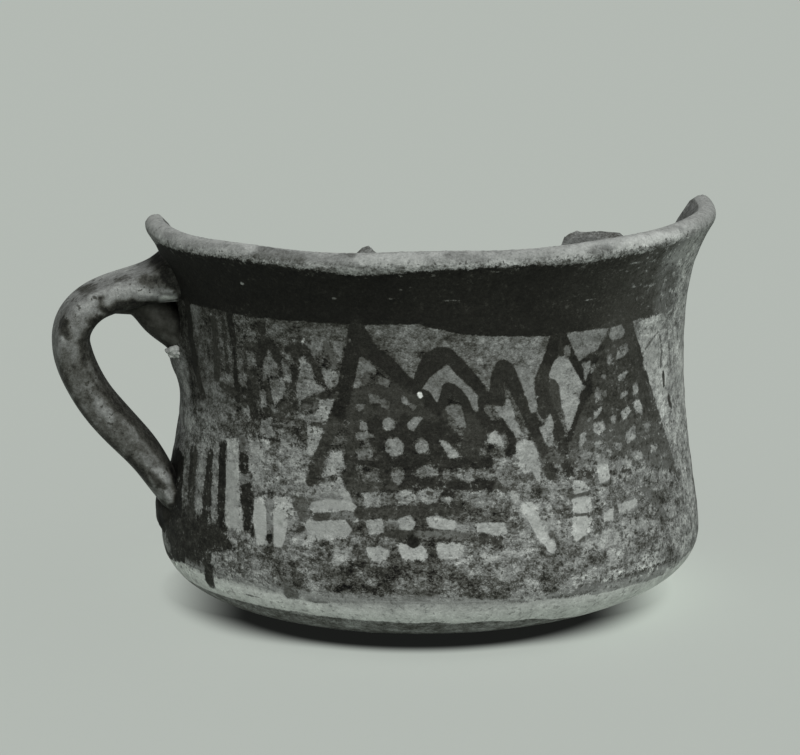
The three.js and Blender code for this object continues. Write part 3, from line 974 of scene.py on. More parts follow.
# %% Cells on the left
LEFT_CELLS = [
    (0.6, (303, 356), (311, 366), (314, 377), (299, 378), (300, 366)),
    (0.52, (298, 380), (314, 380), (326, 390), (312, 395), (303, 397), (299, 405), (297, 392)),
    (0.7, (320, 400), (334, 399), (333, 410), (327, 420), (318, 413)),
    (0.6, (298, 412), (306, 418), (316, 417), (328, 414), (318, 421), (305, 421)),
    (0.45, (270, 352), (276, 363), (278, 374), (262, 373), (265, 360)),
    (0.5, (271, 380), (283, 378), (285, 388), (280, 398), (276, 405), (272, 392)),
    (0.5, (283, 362), (290, 368), (291, 382), (286, 380), (283, 370)),
    (0.6, (262, 420), (271, 418), (272, 436), (264, 436)),
    (0.5, (243, 410), (249, 408), (250, 418), (245, 420)),
    (0.5, (261, 389), (265, 392), (267, 406), (262, 406)),
    (0.45, (313, 343), (322, 343), (322, 352), (314, 354)),
    (0.5, (322, 370), (338, 372), (338, 382), (331, 390), (326, 383)),
    (0.38, (334, 342), (343, 343), (340, 362), (335, 355)),
    (0.75, (309, 425), (318, 430), (327, 428), (324, 440), (316, 455), (309, 452)),
    (0.35, (237, 350), (242, 350), (243, 370), (238, 368)),
    (0.35, (248, 352), (256, 356), (256, 368), (249, 368)),
    (0.35, (239, 374), (246, 376), (247, 386), (241, 384)),
    (0.55, (281, 440), (291, 438), (294, 452), (284, 456)),
    (0.6, (202, 442), (206, 440), (206, 462), (203, 485), (202, 513), (198, 513), (195, 503),
     (198, 480)),
    (0.6, (214, 443), (219, 443), (218, 470), (217, 495), (217, 518), (213, 520), (211, 513),
     (213, 498)),
    (0.88, (228, 440), (238, 440), (238, 465), (239, 490), (242, 515), (243, 530), (233, 527),
     (226, 524), (227, 480)),
    (0.78, (251, 440), (262, 450), (264, 470), (264, 485), (260, 488), (255, 478), (250, 470)),
    (0.95, (256, 500), (263, 497), (265, 507), (266, 520), (266, 535), (263, 541), (257, 535),
     (254, 520)),
    (0.98, (274, 497), (292, 500), (293, 513), (286, 515), (286, 530), (284, 540), (280, 546),
     (275, 545), (275, 520)),
    (0.45, (239, 476), (251, 474), (252, 481), (240, 483)),
    (0.8, (292, 537), (306, 532), (303, 541), (296, 541)),
    (0.65, (288, 521), (295, 521), (296, 529), (288, 529)),
    (0.6, (252, 562), (259, 561), (260, 568), (254, 570)),
    (0.85, (313, 503), (330, 500), (350, 502), (356, 507), (357, 520), (354, 521), (353, 511),
     (345, 508), (335, 511), (325, 511), (316, 515), (312, 518)),
    (0.85, (303, 522), (345, 521), (351, 530), (345, 537), (325, 538), (307, 541), (309, 530)),
    (0.75, (333, 452), (340, 453), (345, 468), (338, 472), (323, 476), (329, 463)),
    (0.7, (336, 478), (340, 478), (351, 501), (345, 500)),
    (0.55, (321, 484), (335, 482), (341, 498), (320, 498)),
    (0.6, (303, 485), (317, 486), (319, 495), (302, 496)),
    (0.6, (333, 550), (352, 548), (352, 556), (340, 560), (335, 566)),
    (0.92, (277, 526), (283, 526), (282, 545), (278, 544)),
    (1.05, (257, 526), (264, 526), (263, 543), (258, 543)),
]
scrape_marks(LEFT_CELLS)

# %% Late strokes on the left
# TAIL_SHADOW is painted shadow: dark paint laid in the slot between the strap's tail and the wall, partly
# the real dark paint there.
TAIL_SHADOW = np.array([
    (-61.4, 17), (-60.6, 14), (-59.2, 9.5), (-57.8, 5), (-62, 3.4), (-70, 3.6), (-77, 6.4), (-79.5, 10),
    (-77, 13.6), (-71, 16.4), (-66, 17.5),
])
LEFT_LATE = [
    (1.5, 0.72, (317, 517), (328, 516)), (1.2, 0.5, (335, 515), (343, 516)),
    (1.5, 0.42, (346, 515), (352, 517)), (0.6, 0.85, (308, 480), (322, 479), (336, 478)),
    (0.5, 0.9, (246, 489), (258, 493), (272, 493)),
]
fill(0.98, TAIL_SHADOW)
brush_marks(LEFT_LATE)

# %% [markdown]
# ## The tall triangle and the arches
#
# A tall triangle hangs from the band in the middle, with two arches beside it and a net of lines
# below. A repeated tile would be quick, but no two meshes of the net are alike. It is drawn as
# the potter did it: long lines, then lines across, then the light cells.

# %% Strokes in the middle
MIDDLE_STROKES = [
    (3, 0.93, (357, 320), (355, 342), (350, 362), (347, 382), (342, 400), (337, 416)),
    (2.5, 0.79, (337, 416), (328, 436), (319, 458), (312, 480)),
    (2.9, 0.92, (361, 335), (372, 353), (388, 364), (402, 380), (415, 392), (430, 402), (440, 420)),
    (2.6, 0.91, (420, 382), (424, 369), (430, 359), (438, 353), (446, 354), (455, 362), (466, 374),
     (480, 390)),
    (2, 0.9, (358, 344), (364, 355)),
    (2.6, 0.91, (427, 379), (434, 369), (442, 362), (452, 364)),
    (2.2, 0.9, (440, 404), (444, 391), (451, 387), (459, 392), (468, 403), (472, 416)),
    (3, 0.88, (497, 394), (498, 377), (503, 367), (508, 371), (512, 382)),
    (2.8, 0.88, (512, 378), (518, 392), (526, 408), (533, 424), (538, 432)),
    (2.2, 0.9, (500, 400), (480, 396), (478, 412), (488, 425), (500, 428)),
    (2, 0.9, (505, 420), (512, 435), (514, 448), (509, 451)),
    (4, 0.8, (470, 420), (476, 435), (470, 448)),
    (3.4, 0.9, (425, 425), (436, 440), (440, 455)),
    (3.6, 0.8, (365, 395), (395, 392), (420, 400)),
    (3.2, 0.8, (352, 412), (376, 413), (405, 410), (440, 418)),
    (3.4, 0.9, (372, 428), (400, 433), (430, 432), (450, 437)),
    (2.4, 0.9, (350, 458), (385, 460), (430, 461), (488, 462)),
    (2.2, 0.74, (352, 485), (396, 486)),
    (2.6, 0.9, (402, 485), (430, 483), (470, 484), (490, 486)),
    (1.8, 0.7, (490, 486), (512, 487)),
    (2.2, 0.8, (360, 512), (400, 511), (430, 510), (458, 510)),
    (1.6, 0.8, (384, 534), (410, 535)), (1.4, 0.5, (416, 535), (440, 534), (468, 535)),
    (2.4, 0.8, (358, 395), (356, 420), (352, 450), (351, 478)),
    (2.6, 0.9, (375, 400), (376, 440), (384, 470), (386, 500)),
    (2.4, 0.9, (404, 400), (407, 440), (410, 470)),
    (2.4, 0.9, (434, 430), (438, 460), (446, 490), (450, 510)),
    (0.5, 1, (350, 431), (375, 435), (400, 438), (440, 441), (480, 443), (508, 446)),
    (0.5, 0.9, (460, 487), (490, 487), (512, 486)), (2.4, 0.8, (484, 537), (497, 540)),
]
brush_marks(MIDDLE_STROKES)

# %% Cells in the middle, upper rows
UPPER_CELLS = [
    (0.44, (361, 357), (368, 362), (375, 370), (374, 373), (370, 371), (366, 368), (362, 376),
     (360, 386), (354, 387), (357, 375)),
    (0.15, (364, 372), (369, 376), (366, 385), (361, 384)),
    (0.3, (379, 377), (388, 382), (388, 387), (380, 383)),
    (0.36, (356, 450), (371, 451), (372, 460), (358, 458)),
    (0.52, (424, 388), (431, 378), (440, 371), (448, 366), (453, 374), (462, 382), (470, 389),
     (476, 396), (477, 410), (474, 408), (469, 397), (463, 389), (455, 383), (447, 380), (442, 383),
     (440, 390), (437, 401), (431, 391)),
    (0.42, (447, 408), (452, 405), (459, 406), (462, 413), (465, 427), (459, 424), (453, 416),
     (448, 413)),
    (0.66, (495, 408), (506, 408), (508, 400), (511, 408), (514, 420), (520, 431), (517, 437),
     (511, 428), (504, 418)),
    (0.85, (495, 431), (500, 438), (503, 447), (497, 443), (485, 443), (490, 438)),
    (0.75, (440, 441), (447, 443), (455, 452), (460, 458), (450, 457), (446, 450)),
    (0.55, (383, 422), (388, 418), (393, 420), (394, 428), (388, 430), (384, 427)),
    (0.55, (408, 424), (414, 418), (422, 418), (417, 424), (413, 430), (409, 428)),
    (0.6, (388, 440), (397, 438), (403, 445), (402, 453), (393, 456), (386, 450)),
    (0.6, (416, 445), (420, 439), (427, 442), (428, 449), (422, 453), (417, 450)),
    (0.6, (361, 421), (366, 424), (367, 431), (361, 428)),
    (0.5, (356, 433), (366, 433), (374, 436), (366, 437), (358, 439)),
    (0.4, (356, 405), (365, 405), (360, 411)),
    (0.35, (370, 395), (377, 396), (381, 402), (371, 402)),
    (0.35, (382, 400), (389, 402), (388, 408), (382, 406)),
    (0.5, (402, 397), (406, 399), (407, 404), (403, 402)),
    (0.4, (409, 404), (416, 406), (413, 410)),
]
scrape_marks(UPPER_CELLS)

# %% Cells in the middle, lower rows
LOWER_CELLS = [
    (0.3, (363, 474), (377, 472), (378, 480), (364, 481)),
    (0.5, (392, 470), (402, 472), (403, 479), (399, 485), (393, 480)),
    (0.5, (417, 470), (425, 466), (437, 469), (438, 475), (420, 476)),
    (0.4, (444, 471), (449, 471), (448, 478), (444, 478)),
    (0.55, (456, 475), (463, 470), (469, 470), (475, 480), (468, 480), (460, 478)),
    (0.36, (382, 494), (394, 493), (394, 504), (383, 505)),
    (0.65, (363, 494), (380, 493), (380, 507), (366, 506), (364, 500)),
    (0.7, (395, 492), (413, 491), (415, 498), (408, 504), (397, 505)),
    (0.65, (420, 491), (428, 489), (440, 492), (438, 499), (428, 504), (422, 500)),
    (0.6, (440, 497), (452, 498), (448, 503), (443, 501)),
    (0.5, (465, 493), (485, 492), (492, 503), (478, 508), (470, 500)),
    (0.8, (367, 521), (382, 520), (383, 532), (370, 533)),
    (0.45, (387, 521), (397, 521), (397, 530), (388, 529)),
    (0.8, (399, 520), (410, 516), (414, 523), (411, 529), (400, 529)),
    (0.85, (428, 518), (437, 516), (445, 520), (455, 522), (454, 529), (440, 528), (430, 526)),
    (0.6, (456, 526), (473, 527), (474, 532), (458, 531)),
    (0.9, (478, 524), (503, 524), (506, 532), (498, 535), (486, 532), (478, 530)),
    (0.85, (368, 549), (380, 547), (389, 552), (385, 559), (376, 561), (370, 556)),
    (0.98, (399, 544), (407, 546), (413, 550), (421, 546), (428, 556), (425, 559), (404, 558),
     (401, 552)),
    (0.92, (437, 544), (463, 545), (463, 552), (458, 557), (440, 558)),
    (0.8, (482, 552), (490, 552), (500, 556), (488, 561), (483, 556)),
    (0.7, (508, 553), (515, 553), (516, 558), (509, 557)),
    (0.6, (496, 468), (502, 470), (504, 477), (499, 477)),
    (0.6, (502, 480), (512, 482), (510, 487), (504, 485)),
    (0.6, (497, 572), (510, 571), (508, 580), (500, 578)),
]
scrape_marks(LOWER_CELLS)

# %% [markdown]
# ## The lozenge and the hatched triangle
#
# A lozenge stands beside a triangle that is hatched so densely that only small cells of clay are
# left. Lines as wide as their gaps would close the cells. So the whole triangle is filled,
# thinned with a rag where it is pale, and its cells are scraped out.

# %% Hatched triangle
HATCHED_TRIANGLE = [
    (622, 300), (628, 322), (638, 355), (646, 382), (653, 403), (661, 428), (667, 445), (674, 470),
    (640, 462), (600, 452), (566, 446), (576, 420), (589, 386), (598, 350), (611, 322),
]
TRIANGLE_THINNED = [
    (0.76, 7, (622, 330), (612, 366), (625, 385)),
    (0.6, 6, (590, 452), (630, 455), (664, 455)), (0.5, 4, (646, 455), (662, 458)),
    (0.6, 4, (630, 436), (654, 440)),
]
FIGURE_WEAR = [
    (1, 9, (610, 390), (625, 450)), (1.2, 8, (250, 350), (280, 380), (316, 385)),
    (1.1, 7, (262, 410), (300, 418)),
]

fill(0.76, on_wall(HATCHED_TRIANGLE))
brush(1.8, 0.88, on_wall(HATCHED_TRIANGLE[:4]))
brush(1.4, 0.66, on_wall(HATCHED_TRIANGLE[3:8]))
wipe_marks(TRIANGLE_THINNED, paint_load)
wipe_marks(FIGURE_WEAR, wear)

# %% Strokes on the right
RIGHT_STROKES = [
    (2.8, 0.93, (558, 325), (555, 345), (548, 364)),
    (3.2, 0.84, (547, 368), (541, 382), (541, 398), (547, 412)),
    (2.4, 0.85, (548, 405), (556, 425), (562, 445), (568, 470)),
    (2.8, 0.92, (563, 335), (571, 350), (579, 366), (588, 380), (590, 394)),
    (1.6, 0.85, (560, 340), (562, 352)), (2, 0.88, (572, 352), (592, 356), (608, 344)),
    (2, 0.9, (587, 385), (581, 405), (576, 420), (570, 440)),
    (2, 0.9, (600, 358), (588, 362), (578, 360)),
    (2, 0.8, (536, 428), (542, 445), (548, 462), (552, 475)),
    (2.6, 0.62, (547, 458), (570, 458)), (2, 0.75, (553, 384), (555, 396), (556, 408)),
    (0.5, 0.9, (540, 447), (575, 446), (600, 447)),
    (0.5, 0.8, (540, 469), (575, 471), (610, 472), (640, 468)),
    (0.6, 0.8, (560, 475), (590, 476)), (1.6, 0.5, (640, 488), (652, 496), (662, 512)),
    (0.45, 0.85, (500, 603), (545, 599), (570, 597), (590, 593), (605, 589), (620, 584), (640, 579),
     (656, 573)),
    (0.45, 0.8, (600, 577), (620, 577), (640, 571), (652, 567), (668, 560)),
    (0.4, 0.6, (604, 572), (618, 567), (640, 560)),
    (0.4, 0.5, (560, 586), (590, 583), (620, 579)),
    (0.4, 0.5, (470, 592), (505, 590), (540, 590)),
    (0.4, 0.5, (470, 600), (520, 597), (560, 592)),
    (0.35, 0.4, (640, 584), (660, 576), (676, 566)),
    (0.4, 0.45, (210, 587), (260, 597), (330, 602), (430, 603), (500, 603)),
    (0.8, 0.5, (659, 336), (661, 350), (660, 366)), (0.6, 0.5, (668, 345), (670, 366)),
    (0.5, 0.5, (641, 353), (650, 341), (658, 331)), (0.9, 0.85, (662, 373), (663, 385)),
    (1.1, 0.8, (668, 397), (670, 407)),
]
brush_marks(RIGHT_STROKES)

# %% Cells of the lozenge and the triangle
TRIANGLE_CELLS = [
    (0.55, (515, 366), (530, 371), (533, 378), (534, 395), (536, 408), (532, 412), (529, 400),
     (525, 390), (521, 380)),
    (0.45, (565, 347), (569, 347), (569, 355), (566, 356)),
    (0.75, (556, 360), (563, 357), (567, 360), (571, 366), (577, 376), (583, 387), (580, 392),
     (577, 398), (577, 405), (573, 417), (569, 430), (566, 420), (563, 406), (561, 394), (561, 386),
     (556, 379), (550, 376), (552, 368)),
    (0.55, (568, 334), (580, 333), (592, 331), (606, 330), (600, 340), (597, 348), (588, 353),
     (579, 359), (572, 343)),
    (0.6, (582, 364), (590, 362), (588, 372), (585, 379), (584, 370)),
    (0.6, (611, 328), (620, 326), (623, 331), (622, 336), (613, 339), (609, 336)),
    (0.6, (618, 350), (626, 345), (627, 350), (621, 357), (616, 358)),
    (0.45, (607, 355), (610, 355), (609, 364), (607, 362)),
    (0.7, (617, 378), (620, 374), (627, 372), (624, 377), (619, 380)),
    (0.4, (601, 375), (606, 375), (604, 378)),
    (0.6, (596, 388), (600, 390), (600, 398), (596, 400), (595, 393)),
    (0.5, (602, 391), (606, 391), (606, 395), (602, 395)),
    (0.75, (633, 385), (637, 384), (637, 392), (633, 393)),
    (0.75, (621, 393), (627, 391), (626, 395), (620, 398)),
    (0.85, (634, 402), (638, 401), (642, 408), (641, 412), (636, 411)),
    (0.85, (621, 412), (628, 406), (630, 411), (625, 418), (621, 416)),
    (0.8, (594, 412), (601, 407), (600, 412), (595, 417)),
    (0.7, (611, 417), (615, 417), (614, 422), (611, 421)),
    (0.8, (595, 425), (602, 422), (604, 428), (599, 434), (594, 431)),
    (0.8, (580, 436), (585, 432), (585, 440), (580, 447), (579, 442)),
    (0.85, (626, 432), (634, 425), (635, 436), (630, 440), (627, 443), (625, 437)),
    (0.68, (594, 443), (601, 440), (605, 444), (604, 450), (597, 447)),
    (0.66, (605, 450), (609, 449), (611, 452), (608, 456), (605, 454)),
    (0.7, (615, 443), (620, 444), (620, 449), (615, 449)),
    (0.6, (645, 424), (649, 423), (648, 433), (645, 431)),
    (0.83, (650, 446), (656, 447), (655, 451), (650, 451)),
    (0.83, (631, 452), (640, 451), (642, 458), (634, 459)),
    (0.54, (582, 450), (588, 455), (586, 465), (578, 469), (580, 460)),
    (0.58, (597, 461), (602, 456), (606, 460), (600, 463)),
    (0.62, (617, 460), (625, 458), (625, 468), (618, 467)),
    (0.73, (636, 470), (648, 468), (647, 474), (638, 476)),
]
scrape_marks(TRIANGLE_CELLS)

# %% Cells on the right, lower rows
RIGHT_CELLS = [
    (0.7, (550, 415), (553, 425), (551, 433), (553, 438), (550, 447), (546, 442), (540, 428),
     (546, 425)),
    (0.86, (516, 446), (522, 440), (532, 442), (537, 455), (540, 470), (539, 480), (533, 470),
     (525, 472), (518, 462)),
    (1, (520, 505), (532, 503), (537, 510), (540, 522), (547, 534), (556, 548), (551, 553),
     (546, 545), (540, 538), (535, 530), (530, 520), (523, 512)),
    (0.66, (541, 519), (555, 518), (555, 529), (549, 536)),
    (0.73, (509, 487), (512, 489), (521, 504), (518, 506)),
    (0.98, (573, 483), (580, 481), (588, 488), (586, 493), (575, 494)),
    (1.03, (573, 499), (590, 497), (589, 513), (573, 513)),
    (1.08, (573, 515), (590, 515), (592, 522), (588, 533), (582, 535), (577, 541), (573, 534)),
    (0.98, (597, 468), (607, 464), (609, 478), (600, 482), (598, 475)),
    (0.83, (600, 490), (610, 490), (606, 498), (600, 502)),
    (0.98, (603, 513), (612, 509), (612, 519), (604, 520)),
    (0.98, (618, 505), (635, 500), (635, 504), (627, 510), (620, 511)),
    (0.88, (602, 532), (618, 533), (620, 540), (612, 542), (603, 546), (601, 540)),
    (0.83, (622, 523), (633, 520), (636, 527), (630, 535), (624, 536)),
    (0.73, (641, 521), (648, 520), (647, 530), (640, 528)),
    (0.78, (607, 552), (615, 552), (616, 560), (610, 560)),
    (0.83, (580, 545), (592, 541), (594, 545), (585, 549)),
    (0.63, (552, 483), (556, 484), (556, 495), (552, 496)),
    (0.85, (643, 361), (650, 350), (658, 340), (658, 352), (650, 366), (645, 368)),
]
RIGHT_LATE = [
    (0.7, 0.62, (570, 497), (580, 495), (590, 492)), (0.6, 0.62, (571, 515), (591, 514)),
    (0.4, 0.5, (575, 486), (587, 490)), (0.6, 0.85, (663, 374), (663, 382)),
]
scrape_marks(RIGHT_CELLS)
brush_marks(RIGHT_LATE)

# %% [markdown]
# ## Flecks and scratches
#
# Last come chips of pale clay, dents and hair-fine scratches that run with the wheel. Noise in
# the material makes the countless tiny ones. The most visible ones are set one by one, over paint
# and clay alike.

# %% Flecks
FLECKS = [
    (1.1, 1.4, (419.5, 394), (420.5, 396)), (0.5, 1.3, (242, 284), (243, 284)),
    (0.5, 1.3, (211, 314), (212, 314)), (0.4, 1.2, (219, 346), (219, 347)),
    (0.4, 0.9, (334, 298), (335, 298)), (0.35, 0.7, (400, 277), (402, 277)),
    (0.35, 0.7, (410, 288), (411, 288)), (0.35, 0.6, (401, 291), (402, 291)),
    (0.35, 1.2, (302, 343), (304, 339)), (0.5, 1, (294, 341), (296, 341)),
    (0.4, 1, (325, 383), (329, 385)), (0.4, 1, (316, 399), (317, 399)),
    (0.5, 0.9, (448, 505), (451, 508)), (0.12, -0.02, (388, 299), (402, 299)),
    (0.12, 0.05, (630, 263), (660, 260)), (0.12, 0.05, (630, 287), (655, 284)),
    (0.1, -0.05, (560, 301), (600, 299)), (0.1, -0.08, (440, 301), (470, 302)),
    (0.6, 0.9, (663, 279), (665, 281)), (0.6, 0.9, (669, 289), (671, 291)),
    (0.5, 0.9, (661, 295), (663, 296)), (0.5, 0.8, (672, 270), (674, 276)),
    (0.5, 0.8, (664, 306), (668, 312)), (0.4, 0.9, (536, 395), (538, 397)),
    (0.3, 0.8, (350, 338), (352, 345)),
]
DENTS = [
    (2.4, 0.97, (413, 540), (413, 542)), (0.9, 0.9, (665, 285), (666, 288)),
    (0.8, 0.95, (463, 475), (464, 476)), (1, 0.55, (551, 532), (551, 536)),
]
BREAK_STAIN = 0.42

for width, light, *pixels in FLECKS:
    scratch(width, light, on_wall(pixels))
brush_marks(DENTS)
stain_and_shade += (BREAK_STAIN - stain_and_shade) * fracture
bare_edge[fracture > 0.5] = NO_PAINT
print("flecks:", len(FLECKS))

# %% [markdown]
# ## Round the back
#
# The photograph shows the front alone, and a mirror of it would look wrong from behind. The same
# hand painted the rest, so the same figures go on there: hatched triangles, arches and stripes,
# set out by loops in mm, each point a little off, as by hand.

# %% Helpers for the back
hand = np.random.default_rng(29)
TRIANGLE_TOP, TRIANGLE_FOOT, TRIANGLE_HALF = 49.0, 15.0, 15.0
CELL_ROW, CELL_COLUMN = 4.1, 3.5
CELL_CORNERS = np.array([(-0.9, -0.8), (0.9, -0.7), (1.0, 0.8), (-0.8, 0.9)])


def shaky(points, amount=0.45):
    """Points in mm with the hand's small errors."""
    points = np.asarray(points, float)
    return points + hand.normal(0, amount, points.shape)


def cell(middle, level):
    """One light cell of a hatched field, left bare between the lines."""
    scrape(level, shaky(middle + CELL_CORNERS * hand.uniform(0.7, 1.25), 0.2))


def hatched_triangle(apex):
    """A dark triangle that hangs from the band, with rows of light cells in it."""
    fill(0.84, shaky([
        (apex - 1.5, 50), (apex + 1.5, 50), (apex + 8, 33), (apex + TRIANGLE_HALF, TRIANGLE_FOOT),
        (apex - TRIANGLE_HALF, TRIANGLE_FOOT), (apex - 8, 33),
    ], 0.7))
    for up in np.arange(TRIANGLE_TOP - 7, -1, -CELL_ROW):
        widening = min((TRIANGLE_TOP - up) / (TRIANGLE_TOP - TRIANGLE_FOOT), 0.85)
        half = widening * TRIANGLE_HALF - 2.4
        for right in np.arange(-half, half, CELL_COLUMN):
            cell(np.array([apex + right + 1.2, up]), hand.uniform(0.5, 0.9))


def arch(middle, reach, top):
    """One arch, drawn up from the left foot and down to the right one."""
    brush(2.6, 0.9, shaky([
        (middle - reach, top - 11), (middle - reach / 2, top - 2), (middle, top),
        (middle + reach / 2, top - 2), (middle + reach, top - 11),
    ]))


print("back helpers: hatched_triangle, arch")

# %% Pattern of the back
BACK_TRIANGLES = [98.0, 140.0, -132.0, -97.0]
BACK_ARCHES = [118.0, -114.0, -152.0]
BACK_STRIPES = [80.0, -81.0]
BACK_START, BACK_END, BACK_STAIN_STEP = 80, 156, 7.0
ARCH_REACHES = ((8.5, 45.0), (4.0, 38.0))

for side in (-1, 1):
    for reach in np.arange(BACK_START, BACK_END, BACK_STAIN_STEP):
        up = hand.uniform(-2, 44)
        level, radius = hand.uniform(0.3, 0.72), hand.uniform(5, 9)
        rag(level, radius, shaky([(side * reach, up), (side * (reach + 3), up + 5)], 2))
    rag(0.1, 3.4, np.array([(side * 72, -3), (side * 157, -3)]))
for apex in BACK_TRIANGLES:
    hatched_triangle(apex)
for middle in BACK_ARCHES:
    for reach, top in ARCH_REACHES:
        arch(middle, reach, top)
for middle in BACK_STRIPES:
    for right in np.arange(-6, 7, 4.0):
        brush(1.7, 0.92, shaky([(middle + right, 47), (middle + right, 30), (middle + right, 8)], 0.5))
print("back figures:", len(BACK_TRIANGLES) + len(BACK_ARCHES) + len(BACK_STRIPES))

# %% [markdown]
# ## Cells that kept their light
#
# A few light cells on the cup are smooth. More light alone would leave their grain, so a narrow
# rag takes the wear itself away along the middle of each.

# %% Cells scraped clean
CLEAN_CELLS = [
    (-0.6, (231, 470), (234, 520)), (-0.6, (260, 508), (260, 536)),
    (-0.6, (279, 518), (279, 540)), (-0.5, (318, 503), (350, 503)),
    (-0.4, (312, 528), (350, 528)), (0, (530, 446), (532, 472)),
    (0, (527, 508), (532, 522), (550, 546)), (-0.15, (581, 488), (581, 535)),
    (0.1, (604, 470), (603, 478)), (0.1, (610, 512), (612, 514)),
    (0.1, (622, 505), (632, 501)), (0.15, (368, 525), (382, 525)),
    (0.15, (404, 525), (420, 525)), (0.15, (432, 525), (458, 526)),
    (0.1, (486, 526), (504, 527)), (0.15, (370, 552), (382, 553)),
    (0.05, (404, 552), (420, 552)), (0.05, (438, 552), (458, 552)),
]
CLEAN_RADIUS = 1.6
for level, *pixels in CLEAN_CELLS:
    rag(level, CLEAN_RADIUS, on_wall(pixels), wear)
print("clean cells:", len(CLEAN_CELLS))

# %% [markdown]
# ## From layers to the mesh
#
# An image would need a flat map of the cup and would blur where the wall curves. A mesh can carry
# the numbers itself, as attributes of its points. The inside, floor and base get plain values,
# but the first row inside the lip stays light.

# %% Hand the layers to the mesh
INNER_LIP_DEPTH, PLAIN_STAIN, PLAIN_WEAR = 2.4, 0.35, -0.8
plain = len(vessel.data.vertices) - len(painted)
inner_bare = np.full(plain, NO_PAINT)
inner_bare[:columns] = toward(INNER_LIP_DEPTH, NO_PAINT, chipped)
PAINT_LAYERS = {
    "paint_edge": (np.clip(paint_edge, NO_PAINT, -NO_PAINT), np.full(plain, NO_PAINT)),
    "paint_load": (paint_load, np.ones(plain)),
    "bare_edge": (np.clip(bare_edge, NO_PAINT, -NO_PAINT), inner_bare),
    "bare_light": (bare_light, np.ones(plain)),
    "stain_and_shade": (stain_and_shade, np.full(plain, PLAIN_STAIN)),
    "wear": (wear, np.full(plain, PLAIN_WEAR)),
}
for name, values in PAINT_LAYERS.items():
    set_attribute(vessel, name, np.concatenate(values))
print("attributes:", list(PAINT_LAYERS))

# %% [markdown]
# ## The strap handle
#
# A strap of clay was pulled, set against the neck, bent over and pressed on the belly. A curve
# with a bevel has one section, so the strap is lofted as the solid is: a rounded section along a
# spline, whose width and thickness change on the way. Fingers added a groove, swellings and
# smears.

# %% Handle line
HANDLE_ANGLE = math.radians(190)
STRAP_WIDTH = 15.6
STRAP_THICKNESS = 7.6
STRAP_SQUARENESS = 2.6
UPPER_ROOT = RIM_HEIGHT - 13.6
LOWER_ROOT = BELLY_HEIGHT + 5.1
FROM_UPPER_ROOT = [(-2.3, -1), (4.6, 0), (11.7, 1.8), (17.3, 4.2), (20.5, 8.1), (21.1, 12)]
TO_LOWER_ROOT = [(13.8, 23.1), (4.1, 11.2), (0.4, 5.6), (-3.3, 0)]

handle_line = spline(
    [(WAIST_RADIUS + stand, UPPER_ROOT - drop) for stand, drop in FROM_UPPER_ROOT]
    + [(BELLY_RADIUS + stand, LOWER_ROOT + rise) for stand, rise in TO_LOWER_ROOT]
)
handle_run = run_along(handle_line)
print("handle line:", round(handle_run[-1], 1), "mm")


# %% A bar along a line
def bar_points(line, run, steps, sides, half_width, half_thickness):
    """A bar along a line: its points, their share of the length and their side."""
    share = np.linspace(0, 1, steps)
    middle = place_at(line, run, share * run[-1])
    ahead = np.gradient(middle, axis=0)
    ahead /= np.linalg.norm(ahead, axis=1)[:, None]
    turned = np.linspace(2 * math.pi, 0, sides, endpoint=False)
    c, s = np.cos(turned), np.sin(turned)
    power = 2 / STRAP_SQUARENESS
    lift = np.sign(c) * np.abs(c) ** power
    aside = np.sign(s) * np.abs(s) ** power
    t, side = np.meshgrid(share, turned, indexing="ij")
    lifts = half_thickness(t, side) * lift[None, :]
    asides = half_width(t, side) * aside[None, :]
    reach = middle[:, 0:1] - ahead[:, 1:2] * lifts
    height = middle[:, 1:2] + ahead[:, 0:1] * lifts
    return reach, height, asides, t, side, middle


def stand_at(reach, height, aside, angle):
    """Turns places in the handle's own plane to places on the cup."""
    x = reach * math.cos(angle) - aside * math.sin(angle)
    y = reach * math.sin(angle) + aside * math.cos(angle)
    return np.stack([x, y, height], -1)


def uneven(t, side, made, stretch):
    """Soft lumps on a bar, from seeded waves in its length and its side."""
    turns, phases, strengths = made
    total = np.zeros(t.shape)
    for k in range(len(turns)):
        total += strengths[k] * np.sin(t * turns[k] * stretch + phases[k] + (k % 3 + 1) * side)
    return total


def ends_of(middle, angle):
    """The two middle points that close a bar at its ends."""
    return stand_at(middle[[0, -1], 0], middle[[0, -1], 1], np.zeros(2), angle)


print("bar helpers: bar_points, stand_at, uneven, ends_of")

# %% [markdown]
# ## Keeping the ends in the wall
#
# The ends were pressed into the soft wall. A Boolean union would melt the pieces into one, so the
# ends just run into the wall and are held back from its inner face. A second helper evens out the
# tightest bend, where rows would cross.


# %% Helpers for the strap's ends and bends
BURIED_COVER = 1.7


def kept_in_wall(reach, height):
    """Holds the buried end of a bar back inside the clay of the wall."""
    return np.maximum(reach, np.interp(-height, -inside[:, 1], inside[:, 0]) + BURIED_COVER)


def rounded_bend(points, reach):
    """Evens out a bar along its length, which rounds its tightest bend."""
    weights = np.exp(-0.5 * (np.arange(-3 * reach, 3 * reach + 1) / reach) ** 2)
    before, after = np.repeat(points[:1], 3 * reach, 0), np.repeat(points[-1:], 3 * reach, 0)
    padded = np.concatenate([before, points, after])
    rows = np.arange(len(points))[:, None] + np.arange(len(weights))[None, :]
    return np.einsum("rkc,k->rc", padded[rows], weights / weights.sum())


print("buried ends stay", BURIED_COVER, "mm behind the inner face")

# %% Width and thickness of the strap
ROOT_SPREAD, ROOT_SPREAD_END = 0.2, 0.22
FILLET_HEIGHT, FILLET_END, FILLET_MOST = 20, 0.088, 3.8
SWELLINGS = [(0.42, 0.15, 1.5), (0.67, 0.12, 1.0)]
INNER_HOLLOW = (0.28, 0.06, 0.7)
PINCH, PINCH_PLACE, PINCH_REACH = 0.12, 0.37, 0.13
TAIL_THINNER, TAIL_REACH = 0.3, 0.2
GROOVE_DEPTH, GROOVE_WIDTH = 0.9, 0.25
strap_waves = waves(9, 3, 22, 0.15)


